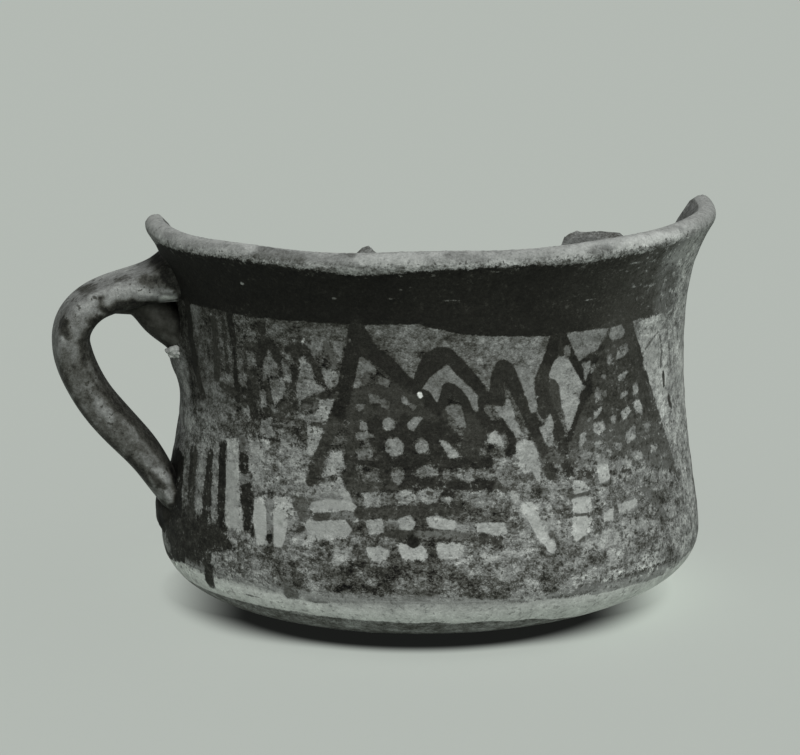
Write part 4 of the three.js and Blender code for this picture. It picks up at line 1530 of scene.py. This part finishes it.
def hat(value, centre, width):
    """1 at the centre, falling in a straight line to 0 at one width from it."""
    return np.clip(1 - np.abs(np.asarray(value) - centre) / width, 0, 1)


def hill(value, centre, width):
    """1 at the centre, falling softly on both sides."""
    return np.exp(-(((value - centre) / width) ** 2))


def root_spread(t):
    """How much wider and thicker the strap is where it meets the neck."""
    return 1 + ROOT_SPREAD * np.clip(1 - t / ROOT_SPREAD_END, 0, 1) ** 2


def strap_half_width(t, side):
    """Half the strap's width at a share of its length."""
    return STRAP_WIDTH / 2 * root_spread(t) + uneven(t, side, strap_waves, 1.6) * 0.5


def strap_half_thickness(t, side):
    """Half the strap's thickness, with all that fingers did to it."""
    outer, inner = smooth(0, 0.5, np.cos(side)), smooth(0, 0.5, -np.cos(side))
    fillet = np.minimum(FILLET_HEIGHT * np.clip(1 - t / FILLET_END, 0, 1) ** 2, FILLET_MOST) * outer
    elbow = sum(depth * hill(t, place, width) for place, width, depth in SWELLINGS) * outer
    hollow = INNER_HOLLOW[2] * hill(t, *INNER_HOLLOW[:2]) * inner
    pinch = 1 - PINCH * hat(t, PINCH_PLACE, PINCH_REACH)
    tail = 1 - TAIL_THINNER * np.clip(1 - (1 - t) / TAIL_REACH, 0, 1)
    groove = GROOVE_DEPTH * hill(np.cos(side), 1, GROOVE_WIDTH)
    groove = groove * smooth(0, 0.1, t) * smooth(0.05, 0.3, 1 - t)
    body = STRAP_THICKNESS / 2 * root_spread(t) * pinch * tail
    return body + fillet + elbow - hollow - groove + uneven(t, side, strap_waves, 2.3) * 0.6


print("strap swellings:", len(SWELLINGS))

# %% Strap mesh
STRAP_STEPS, STRAP_SIDES, BEND_ROUNDING = 230, 84, 8
reach, height, aside, _, strap_side, strap_middle = bar_points(
    handle_line, handle_run, STRAP_STEPS, STRAP_SIDES, strap_half_width, strap_half_thickness
)
reach, height = rounded_bend(reach, BEND_ROUNDING), rounded_bend(height, BEND_ROUNDING)
strap_points = stand_at(kept_in_wall(reach, height), height, aside, HANDLE_ANGLE)
vertices, faces = closed_grid(strap_points, *ends_of(strap_middle, HANDLE_ANGLE))
strap = new_piece("strap", vertices, faces, ["handle_strap"])

# %% [markdown]
# ## The wad at the upper root
#
# Soft clay was packed into the corner under the upper root, to hold it. A ball pressed flat would
# be quick, but the wad is long and bent as the corner is. So it is a short bar like the strap,
# thin where it starts under it.

# %% Wad
WAD_LINE = [(14.2, 0.3), (8.2, -1.2), (3.7, 3.2), (0.2, 6.1), (-2.6, 9.4)]
WAD_WIDTH, WAD_THICKNESS, WAD_TAPER = 12.0, 8.0, 0.3
WAD_THIN_START, WAD_START_REACH = 0.62, 0.34
WAD_STEPS, WAD_SIDES = 60, 48
STRAP_UNDERSIDE = UPPER_ROOT - STRAP_THICKNESS / 2
wad_line = spline([(WAIST_RADIUS + stand, STRAP_UNDERSIDE - drop) for stand, drop in WAD_LINE])
wad_waves = waves(5, 2, 5, 0.22)


def wad_half_width(t, side):
    """Half the wad's width, tapering down the wall."""
    return WAD_WIDTH / 2 * (1 - WAD_TAPER * t) + uneven(t, side, wad_waves, 2)


def wad_half_thickness(t, side):
    """Half the wad's thickness, thin at its start."""
    thin = 1 - WAD_THIN_START * np.clip(1 - t / WAD_START_REACH, 0, 1) ** 2
    return WAD_THICKNESS / 2 * thin + uneven(t, side, wad_waves, 3)


reach, height, aside, _, _, wad_middle = bar_points(
    wad_line, run_along(wad_line), WAD_STEPS, WAD_SIDES, wad_half_width, wad_half_thickness
)
wad_points = stand_at(kept_in_wall(reach, height), height, aside, HANDLE_ANGLE)
vertices, faces = closed_grid(wad_points, *ends_of(wad_middle, HANDLE_ANGLE))
wad = new_piece("upper_root_wad", vertices, faces, ["upper_root_clay"])

# %% [markdown]
# ## The pad at the tail, and the old repair
#
# A thumbed pad covers the end of the tail, and a crumb of pale plaster from an old repair sits at
# the tip of the wad. Sculpting is one way. A ball squeezed to a size, its skin pushed by seeded
# waves, keeps that size and place for certain.


# %% Pad and plaster
LUMP_ROWS, LUMP_SIDES, LUMP_WAVES = 40, 56, 16


def lump(name, size, reach, height, angle, node, roughness, seed):
    """A pressed lump: a ball squeezed to a size, its skin pushed in and out."""
    rise = np.linspace(-math.pi / 2, math.pi / 2, LUMP_ROWS + 2)[1:-1]
    turned = np.linspace(0, 2 * math.pi, LUMP_SIDES, endpoint=False)
    up, round_it = np.meshgrid(rise, turned, indexing="ij")
    unit = np.stack([np.cos(up) * np.cos(round_it), np.cos(up) * np.sin(round_it), np.sin(up)], -1)
    rough = np.random.default_rng(seed)
    bumps = np.zeros(up.shape)
    for _ in range(LUMP_WAVES):
        way = rough.normal(0, 1, 3) * rough.uniform(2, 7)
        bumps += np.sin(unit @ way + rough.uniform(0, 6)) / 8
    local = unit * (np.array(size) / 2) * (1 + roughness * bumps)[..., None]
    points = stand_at(local[..., 0] + reach, local[..., 2] + height, local[..., 1], angle)
    pole_heights = np.array([height - size[2] / 2, height + size[2] / 2])
    poles = stand_at(np.array([reach, reach]), pole_heights, np.zeros(2), angle)
    vertices, faces = closed_grid(points, *poles)
    return new_piece(name, vertices, faces, [node])


pad = lump("tail_pad", (5.2, 13, 10.4), BELLY_RADIUS - 1.2, LOWER_ROOT - 0.9, HANDLE_ANGLE,
           "lower_root_clay", roughness=0.12, seed=5)
plaster = lump("old_plaster", (3.6, 5.2, 3.0), WAIST_RADIUS + 1.0, STRAP_UNDERSIDE - 9.7,
               math.radians(193), "plaster_fill", roughness=0.3, seed=8)

# %% [markdown]
# ## Wear, painted light and shade on the handle
#
# Hands rubbed the paint off the ridges and left it in the hollows, and the dabs add painted light
# and shade too: lighter ridges that face the lamp, darker clay under the strap and by its tail. A
# rule on how sharply the clay bends would miss half of that, so where the camera sees the clay its
# tones follow a list of dabs in pixels. Elsewhere the inner face gets painted shade and the outer
# one painted light, partly its rubbed clay.

# %% Dabs on the strap and the wad
# Many dabs are painted light and shade: lighter on ridges that face the lamp, darker under the strap and
# in the slot by its tail; the rest are worn paint.
STRAP_DABS = [
    (0.42, 16, (70, 320), (66, 340)),
    (0.33, 16, (68, 362), (82, 390), (104, 420), (128, 448), (150, 480)),
    (0.5, 13, (92, 282), (125, 272), (148, 264)),
    (0.46, 6, (84, 300), (66, 322), (60, 340)),
    (0.53, 7, (92, 290), (104, 300), (92, 304), (80, 308)),
    (0.55, 6, (104, 296), (120, 290), (132, 290), (142, 292)),
    (0.42, 7, (70, 320), (76, 345), (74, 360)),
    (0.46, 4, (94, 398), (104, 410), (112, 424)), (0.42, 4, (126, 420), (138, 432)),
    (0.44, 4, (138, 450), (150, 464)), (0.4, 4, (84, 384), (92, 394)),
    (0.58, 3, (146, 478), (158, 484), (170, 496)),
    (0.56, 3, (146, 465), (160, 472), (166, 480)), (0.28, 4, (82, 291), (94, 288)),
    (0.6, 4, (98, 277), (116, 271), (134, 266)), (0.34, 3, (118, 279), (126, 277)),
    (0.26, 6, (146, 280), (160, 280), (172, 286)),
    (0.16, 4, (100, 298), (100, 308), (110, 312), (122, 306)),
    (0.17, 5, (64, 322), (66, 334)),
    (0.14, 4, (134, 302), (140, 312), (152, 306), (164, 310)),
    (0.22, 9, (158, 262), (168, 272), (174, 282)),
    (0.14, 4, (156, 256), (162, 270), (168, 282), (178, 292)),
    (0.13, 3, (182, 300), (185, 290), (183, 280)), (0.14, 2, (179, 284), (181, 300)),
    (0.58, 3, (140, 293), (160, 296), (174, 297)), (0.64, 3, (161, 298), (174, 299)),
    (0.6, 3, (163, 291), (174, 292)), (0.76, 2.4, (164, 296), (174, 299)),
    (0.16, 2, (139, 303), (156, 304)),
    (0.22, 4, (88, 330), (82, 345), (84, 365), (96, 385), (112, 400), (130, 418), (148, 440), (162, 458)),
    (0.2, 3, (100, 316), (90, 324)),
    (0.24, 3, (60, 372), (72, 398), (92, 424), (120, 452)),
    (0.3, 4, (118, 440), (128, 442), (140, 450)), (0.28, 3, (112, 430), (120, 418)),
    (0.2, 4, (130, 458), (142, 472), (148, 482)), (0.22, 3, (152, 476), (164, 488)),
    (0.13, 6, (160, 506), (166, 516), (158, 522)),
    (0.09, 4, (173, 458), (176, 480), (177, 510)), (0.24, 3, (86, 392), (90, 400)),
    (0.13, 3, (171, 506), (173, 513)), (0.5, 1.6, (62, 338), (64, 342)),
]
# The darker dabs on the wad are partly painted shade, where it sits under the strap.
WAD_DABS = [
    (0.23, 20, (150, 320), (168, 335)), (0.28, 6, (152, 312), (162, 322)),
    (0.13, 5, (176, 305), (182, 330)), (0.33, 3, (166, 336), (176, 342)),
]
print("dabs:", len(STRAP_DABS) + len(WAD_DABS))


# %% Dabs laid on a piece
DAB_FACING = (-0.05, 0.25)
DAB_CORE, DAB_END = 0.25, 1.6
RUFFLE_WAVES, RUFFLE_FINEST, RUFFLE_BROADEST, RUFFLE_PUSH = 14, 1.6, 6, 0.5


def to_pixels(points):
    """Where places in mm appear in the photograph."""
    away = points - eye
    depth = away @ view_forward
    px = PHOTO_WIDTH / 2 + FOCAL_PIXELS * (away @ view_right) / depth
    py = PHOTO_HEIGHT / 2 - FOCAL_PIXELS * (away @ view_up) / depth
    return np.stack([px, py], -1)


def ruffle(places):
    """A ragged push of a pixel or two for each place, so that no dab is round."""
    push = np.zeros(len(places))
    rough = np.random.default_rng(17)
    for _ in range(RUFFLE_WAVES):
        way = rough.normal(0, 1, 3)
        way *= 2 * math.pi / rough.uniform(RUFFLE_FINEST, RUFFLE_BROADEST) / np.linalg.norm(way)
        push += np.sin(places @ way + rough.uniform(0, 6.3))
    return push * RUFFLE_PUSH


def dabbed(piece, tone, dabs):
    """Tones of a piece with dabs over them where it faces the camera."""
    count = len(piece.data.vertices)
    places, normals = np.empty(count * 3), np.empty(count * 3)
    piece.data.vertices.foreach_get("co", places)
    piece.data.vertices.foreach_get("normal", normals)
    places, normals = places.reshape(-1, 3) / MM, normals.reshape(-1, 3)
    facing = smooth(*DAB_FACING, -(normals @ view_forward))
    pixels = to_pixels(places)
    push = ruffle(places)
    for level, radius, *line in dabs:
        away = distance_to_line(pixels, np.array(line, float)) + push
        tone = toward(tone, level, (1 - smooth(radius * DAB_CORE, radius * DAB_END, away)) * facing)
    return tone


print("dab helpers: to_pixels, ruffle, dabbed")

# %% Tones of the strap, the wad and the pad
FACE_TONE, RUBBED_AND_LIT_TONE, INNER_SHADE_TONE = 0.42, 0.5, 0.21
WAD_TONE, PAD_TONE, PAD_DABS = 0.25, 0.17, 8

outer = np.append(np.cos(strap_side).ravel(), [0.0, 0.0])
# Painted light on the strap's outer face, partly its rubbed clay, and painted shade on its inner face.
strap_tone = toward(FACE_TONE, RUBBED_AND_LIT_TONE, smooth(0.2, 0.9, outer))
strap_tone = toward(strap_tone, INNER_SHADE_TONE, smooth(0.35, 0.75, -outer))
wad_tone = np.full(len(wad.data.vertices), WAD_TONE)
pad_tone = np.full(len(pad.data.vertices), PAD_TONE)
set_attribute(strap, "tone", dabbed(strap, strap_tone, STRAP_DABS))
set_attribute(wad, "tone", dabbed(wad, wad_tone, WAD_DABS))
set_attribute(pad, "tone", dabbed(pad, pad_tone, STRAP_DABS[-PAD_DABS:]))
print("toned pieces:", strap.name, wad.name, pad.name)

# %% [markdown]
# ## Tools for the finishes
#
# Each finish is a graph of nodes. It could be drawn in the node editor, but written down it reads
# from top to bottom, and helpers that add one node each keep it short.

# %% Node helpers
scene = bpy.context.scene
scene.view_settings.view_transform = "Standard"


def new_material(name, roughness, shine):
    """A material with one shader, its tree and the shader itself."""
    material = bpy.data.materials.new(name)
    material.use_nodes = True
    tree = material.node_tree
    tree.nodes.clear()
    out = tree.nodes.new("ShaderNodeOutputMaterial")
    shader = tree.nodes.new("ShaderNodeBsdfPrincipled")
    tree.links.new(shader.outputs["BSDF"], out.inputs["Surface"])
    shader.inputs["Roughness"].default_value = roughness
    shader.inputs["Specular IOR Level"].default_value = shine
    return material, tree, shader


def add(tree, kind, sockets=None, **settings):
    """Adds one node. A socket takes a number or the output of another node."""
    made = tree.nodes.new(kind)
    for key, value in settings.items():
        setattr(made, key, value)
    for key, value in (sockets or {}).items():
        if isinstance(value, bpy.types.NodeSocket):
            tree.links.new(value, made.inputs[key])
        else:
            made.inputs[key].default_value = value
    return made


def calc(tree, operation, *values, clamp=False):
    """A sum of numbers and outputs, such as ADD or MULTIPLY_ADD."""
    sockets = dict(enumerate(values))
    return add(tree, "ShaderNodeMath", sockets, operation=operation, use_clamp=clamp).outputs[0]


def between(tree, value, low, high, to_low=0.0, to_high=1.0):
    """Maps low..high softly to to_low..to_high."""
    spread = {0: value, 1: low, 2: high, 3: to_low, 4: to_high}
    return add(tree, "ShaderNodeMapRange", spread, interpolation_type="SMOOTHSTEP").outputs[0]


def blend(tree, share, first, second):
    """Goes from the first to the second as the share goes from 0 to 1."""
    spread = {0: share, 1: 0.0, 2: 1.0, 3: first, 4: second}
    return add(tree, "ShaderNodeMapRange", spread).outputs[0]


def layer(tree, name):
    """Reads a number that the mesh carries at its points."""
    return add(tree, "ShaderNodeAttribute", attribute_name=name).outputs["Fac"]


def around_middle(tree, noise, amount, value):
    """Adds noise, taken about its middle, to a value."""
    return calc(tree, "MULTIPLY_ADD", calc(tree, "SUBTRACT", noise, 0.5), amount, value)


print("node helpers: add, calc, between, blend, layer")

# %% [markdown]
# ## Grain, tint and skin
#
# Fired clay has grain from fine pores to broad clouds. Noise in the object's own space has no
# seams, as a flat picture would. The photograph is black and white, so each finish is one printed
# tone, from 0 for black to 1 for white, until the last step turns it to light. The grain also
# stands up a little, as bump.


# %% Helpers for grain, tint and skin
NOISE_LUMP = 1.6
DARKEST, PRINT_GAMMA = 0.02, 2.2


def grain(tree, size, detail=3.0, rough=0.55, stretch=(1, 1, 1), offset=0.0):
    """Noise whose lumps are about the given size in mm; 0.5 is its middle."""
    place = add(tree, "ShaderNodeTexCoord").outputs["Object"]
    scale = tuple(1 / MM / size / NOISE_LUMP / s for s in stretch)
    shift = {"Vector": place, "Location": (offset, offset, offset), "Scale": scale}
    moved = add(tree, "ShaderNodeMapping", shift).outputs[0]
    noise = {"Vector": moved, "Scale": 1.0, "Detail": detail, "Roughness": rough}
    return add(tree, "ShaderNodeTexNoise", noise).outputs[0]


def tinted(tree, tone, shader):
    """Turns a printed tone to light: warm in the darks, faintly green in the lights."""
    light = calc(tree, "POWER", calc(tree, "MAXIMUM", tone, DARKEST), PRINT_GAMMA)
    red = between(tree, tone, 0.1, 0.5, 1.0, 0.96)
    blue = between(tree, tone, 0.1, 0.5, 0.8, 0.95)
    parts = {
        "Red": calc(tree, "MULTIPLY", light, red),
        "Green": light,
        "Blue": calc(tree, "MULTIPLY", light, blue),
    }
    tree.links.new(add(tree, "ShaderNodeCombineColor", parts).outputs[0], shader.inputs["Base Color"])


def raised(tree, height, shader, strength, depth):
    """Bump of a depth in mm on a shader."""
    sockets = {"Height": height, "Strength": strength, "Distance": depth * MM}
    tree.links.new(add(tree, "ShaderNodeBump", sockets).outputs[0], shader.inputs["Normal"])


print("finish helpers: grain, tinted, raised")

# %% [markdown]
# ## Painted clay
#
# The wall is clay with slip painted on it, both worn. A single picture would be stretched and
# blurred. It is built as the cup was: clay and stains, with painted light and shade in the same
# layer, bare spots, then paint, each with its own grain, and pits over all. High wear frays every
# edge and takes paint away.

# %% Grains of the painted clay
painted_clay, tree, shader = new_material("painted_clay", roughness=0.78, shine=0.16)

fine = grain(tree, size=0.4, detail=3.0, rough=1.0)
speck = grain(tree, size=0.6, detail=2.0, rough=0.6, offset=3.1)
mottle = grain(tree, size=1.7, detail=4.0, rough=1.0, stretch=(1.3, 1.3, 0.9), offset=7.7)
cloud = grain(tree, size=11.0, detail=3.0, rough=0.5, offset=1.3)
streak = grain(tree, size=0.55, detail=3.0, rough=0.6, stretch=(5, 5, 0.9), offset=5.0)
fray = grain(tree, size=1.2, detail=5.0, rough=0.95, offset=9.2)
flakes = grain(tree, size=2.3, detail=5.0, rough=0.9, stretch=(1.3, 1.3, 0.9), offset=12.5)
flake = between(tree, flakes, 0.46, 0.54, -0.5, 0.5)
worn = layer(tree, "wear")


def by_wear(more, least, clamp=False):
    """A strength that grows with the wear, from the least that is always there."""
    return calc(tree, "MULTIPLY_ADD", worn, more, least, clamp=clamp)


print("nodes for the grains:", len(tree.nodes))

# %% Clay and bare spots
CLAY_TONE, STAIN_AND_SHADE_DROP = 0.665, 0.53
BARE_TONE, BARE_GAIN = 0.22, 0.46
BARE_SOFTNESS = (-0.15, 0.2)

stained_and_shaded = calc(tree, "MULTIPLY_ADD", layer(tree, "stain_and_shade"), -STAIN_AND_SHADE_DROP, CLAY_TONE)
mottled = around_middle(tree, mottle, by_wear(0.25, 1.0), stained_and_shaded)
flaked = calc(tree, "MULTIPLY_ADD", flake, by_wear(0.1, 0.07, clamp=True), mottled)
clay = around_middle(tree, cloud, 0.12, flaked)

frays = by_wear(2.6, 1.0)
bare_tone = calc(tree, "MULTIPLY_ADD", layer(tree, "bare_light"), BARE_GAIN, BARE_TONE)
bare_rough = around_middle(tree, mottle, by_wear(0.5, 0.6), bare_tone)
bare_depth = around_middle(tree, fray, frays, layer(tree, "bare_edge"))
bare_share = between(tree, bare_depth, *BARE_SOFTNESS)
clay_tone = blend(tree, bare_share, clay, bare_rough)
print("nodes with clay and bare spots:", len(tree.nodes))

# %% Paint over the clay
PAINT_TONE, PAINT_DROP = 0.672, 0.55
PAINT_SOFTNESS = (-0.14, 0.14)
RUB_START, RUB_FULL = 0.62, 0.72

load = layer(tree, "paint_load")
paint_tone = calc(tree, "MULTIPLY_ADD", load, -PAINT_DROP, PAINT_TONE)
paint_rough = around_middle(tree, mottle, by_wear(0.35, 0.05), paint_tone)
paint_depth = around_middle(tree, fray, frays, layer(tree, "paint_edge"))
paint_share = between(tree, paint_depth, *PAINT_SOFTNESS)
rubbed = between(tree, around_middle(tree, mottle, 0.8, speck), RUB_START, RUB_FULL)
thinness = by_wear(0.5, calc(tree, "SUBTRACT", 1.0, load))
paint_left = calc(tree, "SUBTRACT", 1.0, calc(tree, "MULTIPLY", rubbed, thinness), clamp=True)
paint_cover = calc(tree, "MULTIPLY", paint_share, paint_left)
painted_tone = blend(tree, paint_cover, clay_tone, paint_rough)
print("nodes with paint:", len(tree.nodes))

# %% Specks, streaks and pits over all
SPECKLE_FALL, SPECKLE_START = -2.3, 1.75
PIT_TONE, PIT_START, PIT_FULL = 0.15, 0.41, 0.34

speckle_fall = calc(tree, "MULTIPLY_ADD", painted_tone, SPECKLE_FALL, SPECKLE_START)
speckled = around_middle(tree, fine, calc(tree, "MULTIPLY", painted_tone, speckle_fall), painted_tone)
streaks = calc(tree, "MULTIPLY", painted_tone, by_wear(0.3, 0.14))
streaked = around_middle(tree, streak, streaks, speckled)
pits = between(tree, speck, PIT_START, PIT_FULL)
pit_share = calc(tree, "MULTIPLY", pits, by_wear(0.35, 0.22, clamp=True))
tinted(tree, blend(tree, pit_share, streaked, PIT_TONE), shader)
broad_skin = calc(tree, "ADD", mottle, calc(tree, "MULTIPLY", streak, 0.15))
skin = calc(tree, "ADD", calc(tree, "MULTIPLY", fine, 0.5), broad_skin)
raised(tree, skin, shader, strength=0.7, depth=0.22)
print("nodes of painted clay:", len(tree.nodes))

# %% [markdown]
# ## Handle, wad, pad and plaster
#
# The handle is mottled dark clay, the wad and the pad are less handled, and the plaster is pale
# and chalky. One finish for all would be simpler, but the repair would look as old as the cup.
# Each has two grains on its tone.

# %% Strap clay
strap_clay, tree, shader = new_material("strap_clay", roughness=0.7, shine=0.22)
fine = grain(tree, size=0.45, detail=4.0, rough=0.7)
mottle = grain(tree, size=1.6, detail=5.0, rough=0.95, offset=2.2)
tone = around_middle(tree, mottle, 0.66, layer(tree, "tone"))
tone = around_middle(tree, fine, 0.24, tone)
pits = between(tree, grain(tree, size=0.8, detail=2.0, rough=0.6, offset=6.1), 0.4, 0.3)
tone = blend(tree, calc(tree, "MULTIPLY", pits, 0.6), tone, 0.14)
tinted(tree, tone, shader)
raised(tree, calc(tree, "ADD", fine, mottle), shader, strength=0.7, depth=0.25)
print("nodes of strap clay:", len(tree.nodes))

# %% Luting clay of the wad and the pad
luting_clay, tree, shader = new_material("luting_clay", roughness=0.75, shine=0.18)
fine = grain(tree, size=0.5, detail=4.0, rough=0.7)
mottle = grain(tree, size=2.0, detail=3.0, rough=0.6, offset=4.4)
tone = around_middle(tree, mottle, 0.3, layer(tree, "tone"))
tinted(tree, around_middle(tree, fine, 0.14, tone), shader)
raised(tree, calc(tree, "ADD", fine, mottle), shader, strength=0.8, depth=0.3)
print("nodes of luting clay:", len(tree.nodes))

# %% Repair plaster
PLASTER_TONE = 0.8
repair_plaster, tree, shader = new_material("repair_plaster", roughness=0.9, shine=0.1)
fine = grain(tree, size=0.4, detail=4.0, rough=0.7)
mottle = grain(tree, size=1.4, detail=3.0, rough=0.6, offset=8.0)
tone = around_middle(tree, mottle, 0.8, PLASTER_TONE)
tinted(tree, around_middle(tree, fine, 0.14, tone), shader)
raised(tree, calc(tree, "ADD", fine, mottle), shader, strength=0.8, depth=0.3)
print("nodes of plaster:", len(tree.nodes))

# %% Each piece gets its finish
vessel.data.materials.append(painted_clay)
strap.data.materials.append(strap_clay)
wad.data.materials.append(luting_clay)
pad.data.materials.append(luting_clay)
plaster.data.materials.append(repair_plaster)
print("finishes:", [m.name for m in (painted_clay, strap_clay, luting_clay, repair_plaster)])

# %% [markdown]
# ## Floor and backdrop
#
# The cup stands on a pale, even sheet, with a short dark shadow under the belly. A curved
# backdrop is the studio's way, but a flat one looks the same here. A lamp would throw a longer
# shadow, so the sheet's own lamp throws none, and its finish has a dark round.

# %% Sheet
SHEET_GREY = (0.590, 0.635, 0.589)
SHEET_HALF = 3000.0

corners = [(-SHEET_HALF, -SHEET_HALF, 0), (SHEET_HALF, -SHEET_HALF, 0)]
corners += [(SHEET_HALF, SHEET_HALF, 0), (-SHEET_HALF, SHEET_HALF, 0)]
sheet_mesh = bpy.data.meshes.new("studio_sheet")
sheet_mesh.from_pydata((np.array(corners) * MM).tolist(), [], [(0, 1, 2, 3)])
sheet = bpy.data.objects.new("studio_sheet", sheet_mesh)
scene.collection.objects.link(sheet)
print("sheet:", round(2 * SHEET_HALF * MM, 1), "m wide")

# %% Shade under the belly
SHADE_MIDDLE, SHADE_TONE = (-2.9, 0.0), 0.028
SHADE_CORE, SHADE_END = 42.6, 48.7
SHADE_CORE_LESS, SHADE_END_MORE = 1.6, 3.8
SHADE_WIDENS = (14, 40)
SHADE_SIDE_CORE, SHADE_SIDE_END = 33.0, 54.0

studio_paper, tree, shader = new_material("studio_paper", roughness=0.9, shine=0.0)
place = add(tree, "ShaderNodeTexCoord").outputs["Object"]
middle = tuple(-c * MM for c in SHADE_MIDDLE) + (0.0,)
from_middle = add(tree, "ShaderNodeVectorMath", {0: place, 1: middle}, operation="ADD").outputs[0]
away = add(tree, "ShaderNodeVectorMath", {0: from_middle}, operation="LENGTH").outputs["Value"]
aside = calc(tree, "ABSOLUTE", add(tree, "ShaderNodeSeparateXYZ", {0: from_middle}).outputs["X"])
to_side = between(tree, aside, SHADE_WIDENS[0] * MM, SHADE_WIDENS[1] * MM)
core = calc(tree, "MULTIPLY_ADD", to_side, -SHADE_CORE_LESS * MM, SHADE_CORE * MM)
end = calc(tree, "MULTIPLY_ADD", to_side, SHADE_END_MORE * MM, SHADE_END * MM)
open_round = between(tree, away, core, end, SHADE_TONE, 1.0)
open_aside = between(tree, aside, SHADE_SIDE_CORE * MM, SHADE_SIDE_END * MM, SHADE_TONE, 1.0)
open_share = calc(tree, "MAXIMUM", open_round, open_aside)
levels = zip(("Red", "Green", "Blue"), SHEET_GREY)
parts = {name: calc(tree, "MULTIPLY", open_share, level) for name, level in levels}
tree.links.new(add(tree, "ShaderNodeCombineColor", parts).outputs[0], shader.inputs["Base Color"])
sheet_mesh.materials.append(studio_paper)
print("nodes of the sheet:", len(tree.nodes))

# %% [markdown]
# ## Light
#
# One broad lamp stood in front, a little from the right. An area lamp near the cup would fade
# across it, but a sun with a wide face is soft and even. Light linking gives cup and sheet a sun
# each, and the air gives weak light from all sides.


# %% Lamps
def broad_sun(name, lit, height, right, face, strength, casts_shadow):
    """A sun for some pieces only, with its three angles in degrees."""
    lamp_data = bpy.data.lights.new(name, "SUN")
    lamp_data.angle = math.radians(face)
    lamp_data.energy = strength
    lamp_data.use_shadow = casts_shadow
    lamp = bpy.data.objects.new(name, lamp_data)
    lamp.rotation_euler = (math.radians(90 - height), 0, math.radians(right))
    scene.collection.objects.link(lamp)
    group = bpy.data.collections.new(name + "_lights")
    for piece in lit:
        group.objects.link(piece)
    lamp.light_linking.receiver_collection = group
    print(name, "lights", len(lit), "pieces")


cup_pieces = [vessel, strap, wad, pad, plaster]
broad_sun("cup_lamp", cup_pieces, height=50, right=14, face=34, strength=2.6, casts_shadow=True)
broad_sun("sheet_lamp", [sheet], height=56, right=0, face=12, strength=2.42, casts_shadow=False)

# %% Air
AIR_STRENGTH = 0.13
AIR_SEEN = (0.482, 0.508, 0.473, 1)
world = bpy.data.worlds.new("studio_air")
world.use_nodes = True
air = world.node_tree
air.nodes.clear()
fill_light = add(air, "ShaderNodeBackground", {"Color": (1, 1, 1, 1), "Strength": AIR_STRENGTH})
seen_light = add(air, "ShaderNodeBackground", {"Color": AIR_SEEN, "Strength": 1.0})
seen = add(air, "ShaderNodeLightPath").outputs["Is Camera Ray"]
mixed = add(air, "ShaderNodeMixShader", {0: seen, 1: fill_light.outputs[0], 2: seen_light.outputs[0]})
air.links.new(mixed.outputs[0], add(air, "ShaderNodeOutputWorld").inputs["Surface"])
scene.world = world
print("air strength", AIR_STRENGTH)
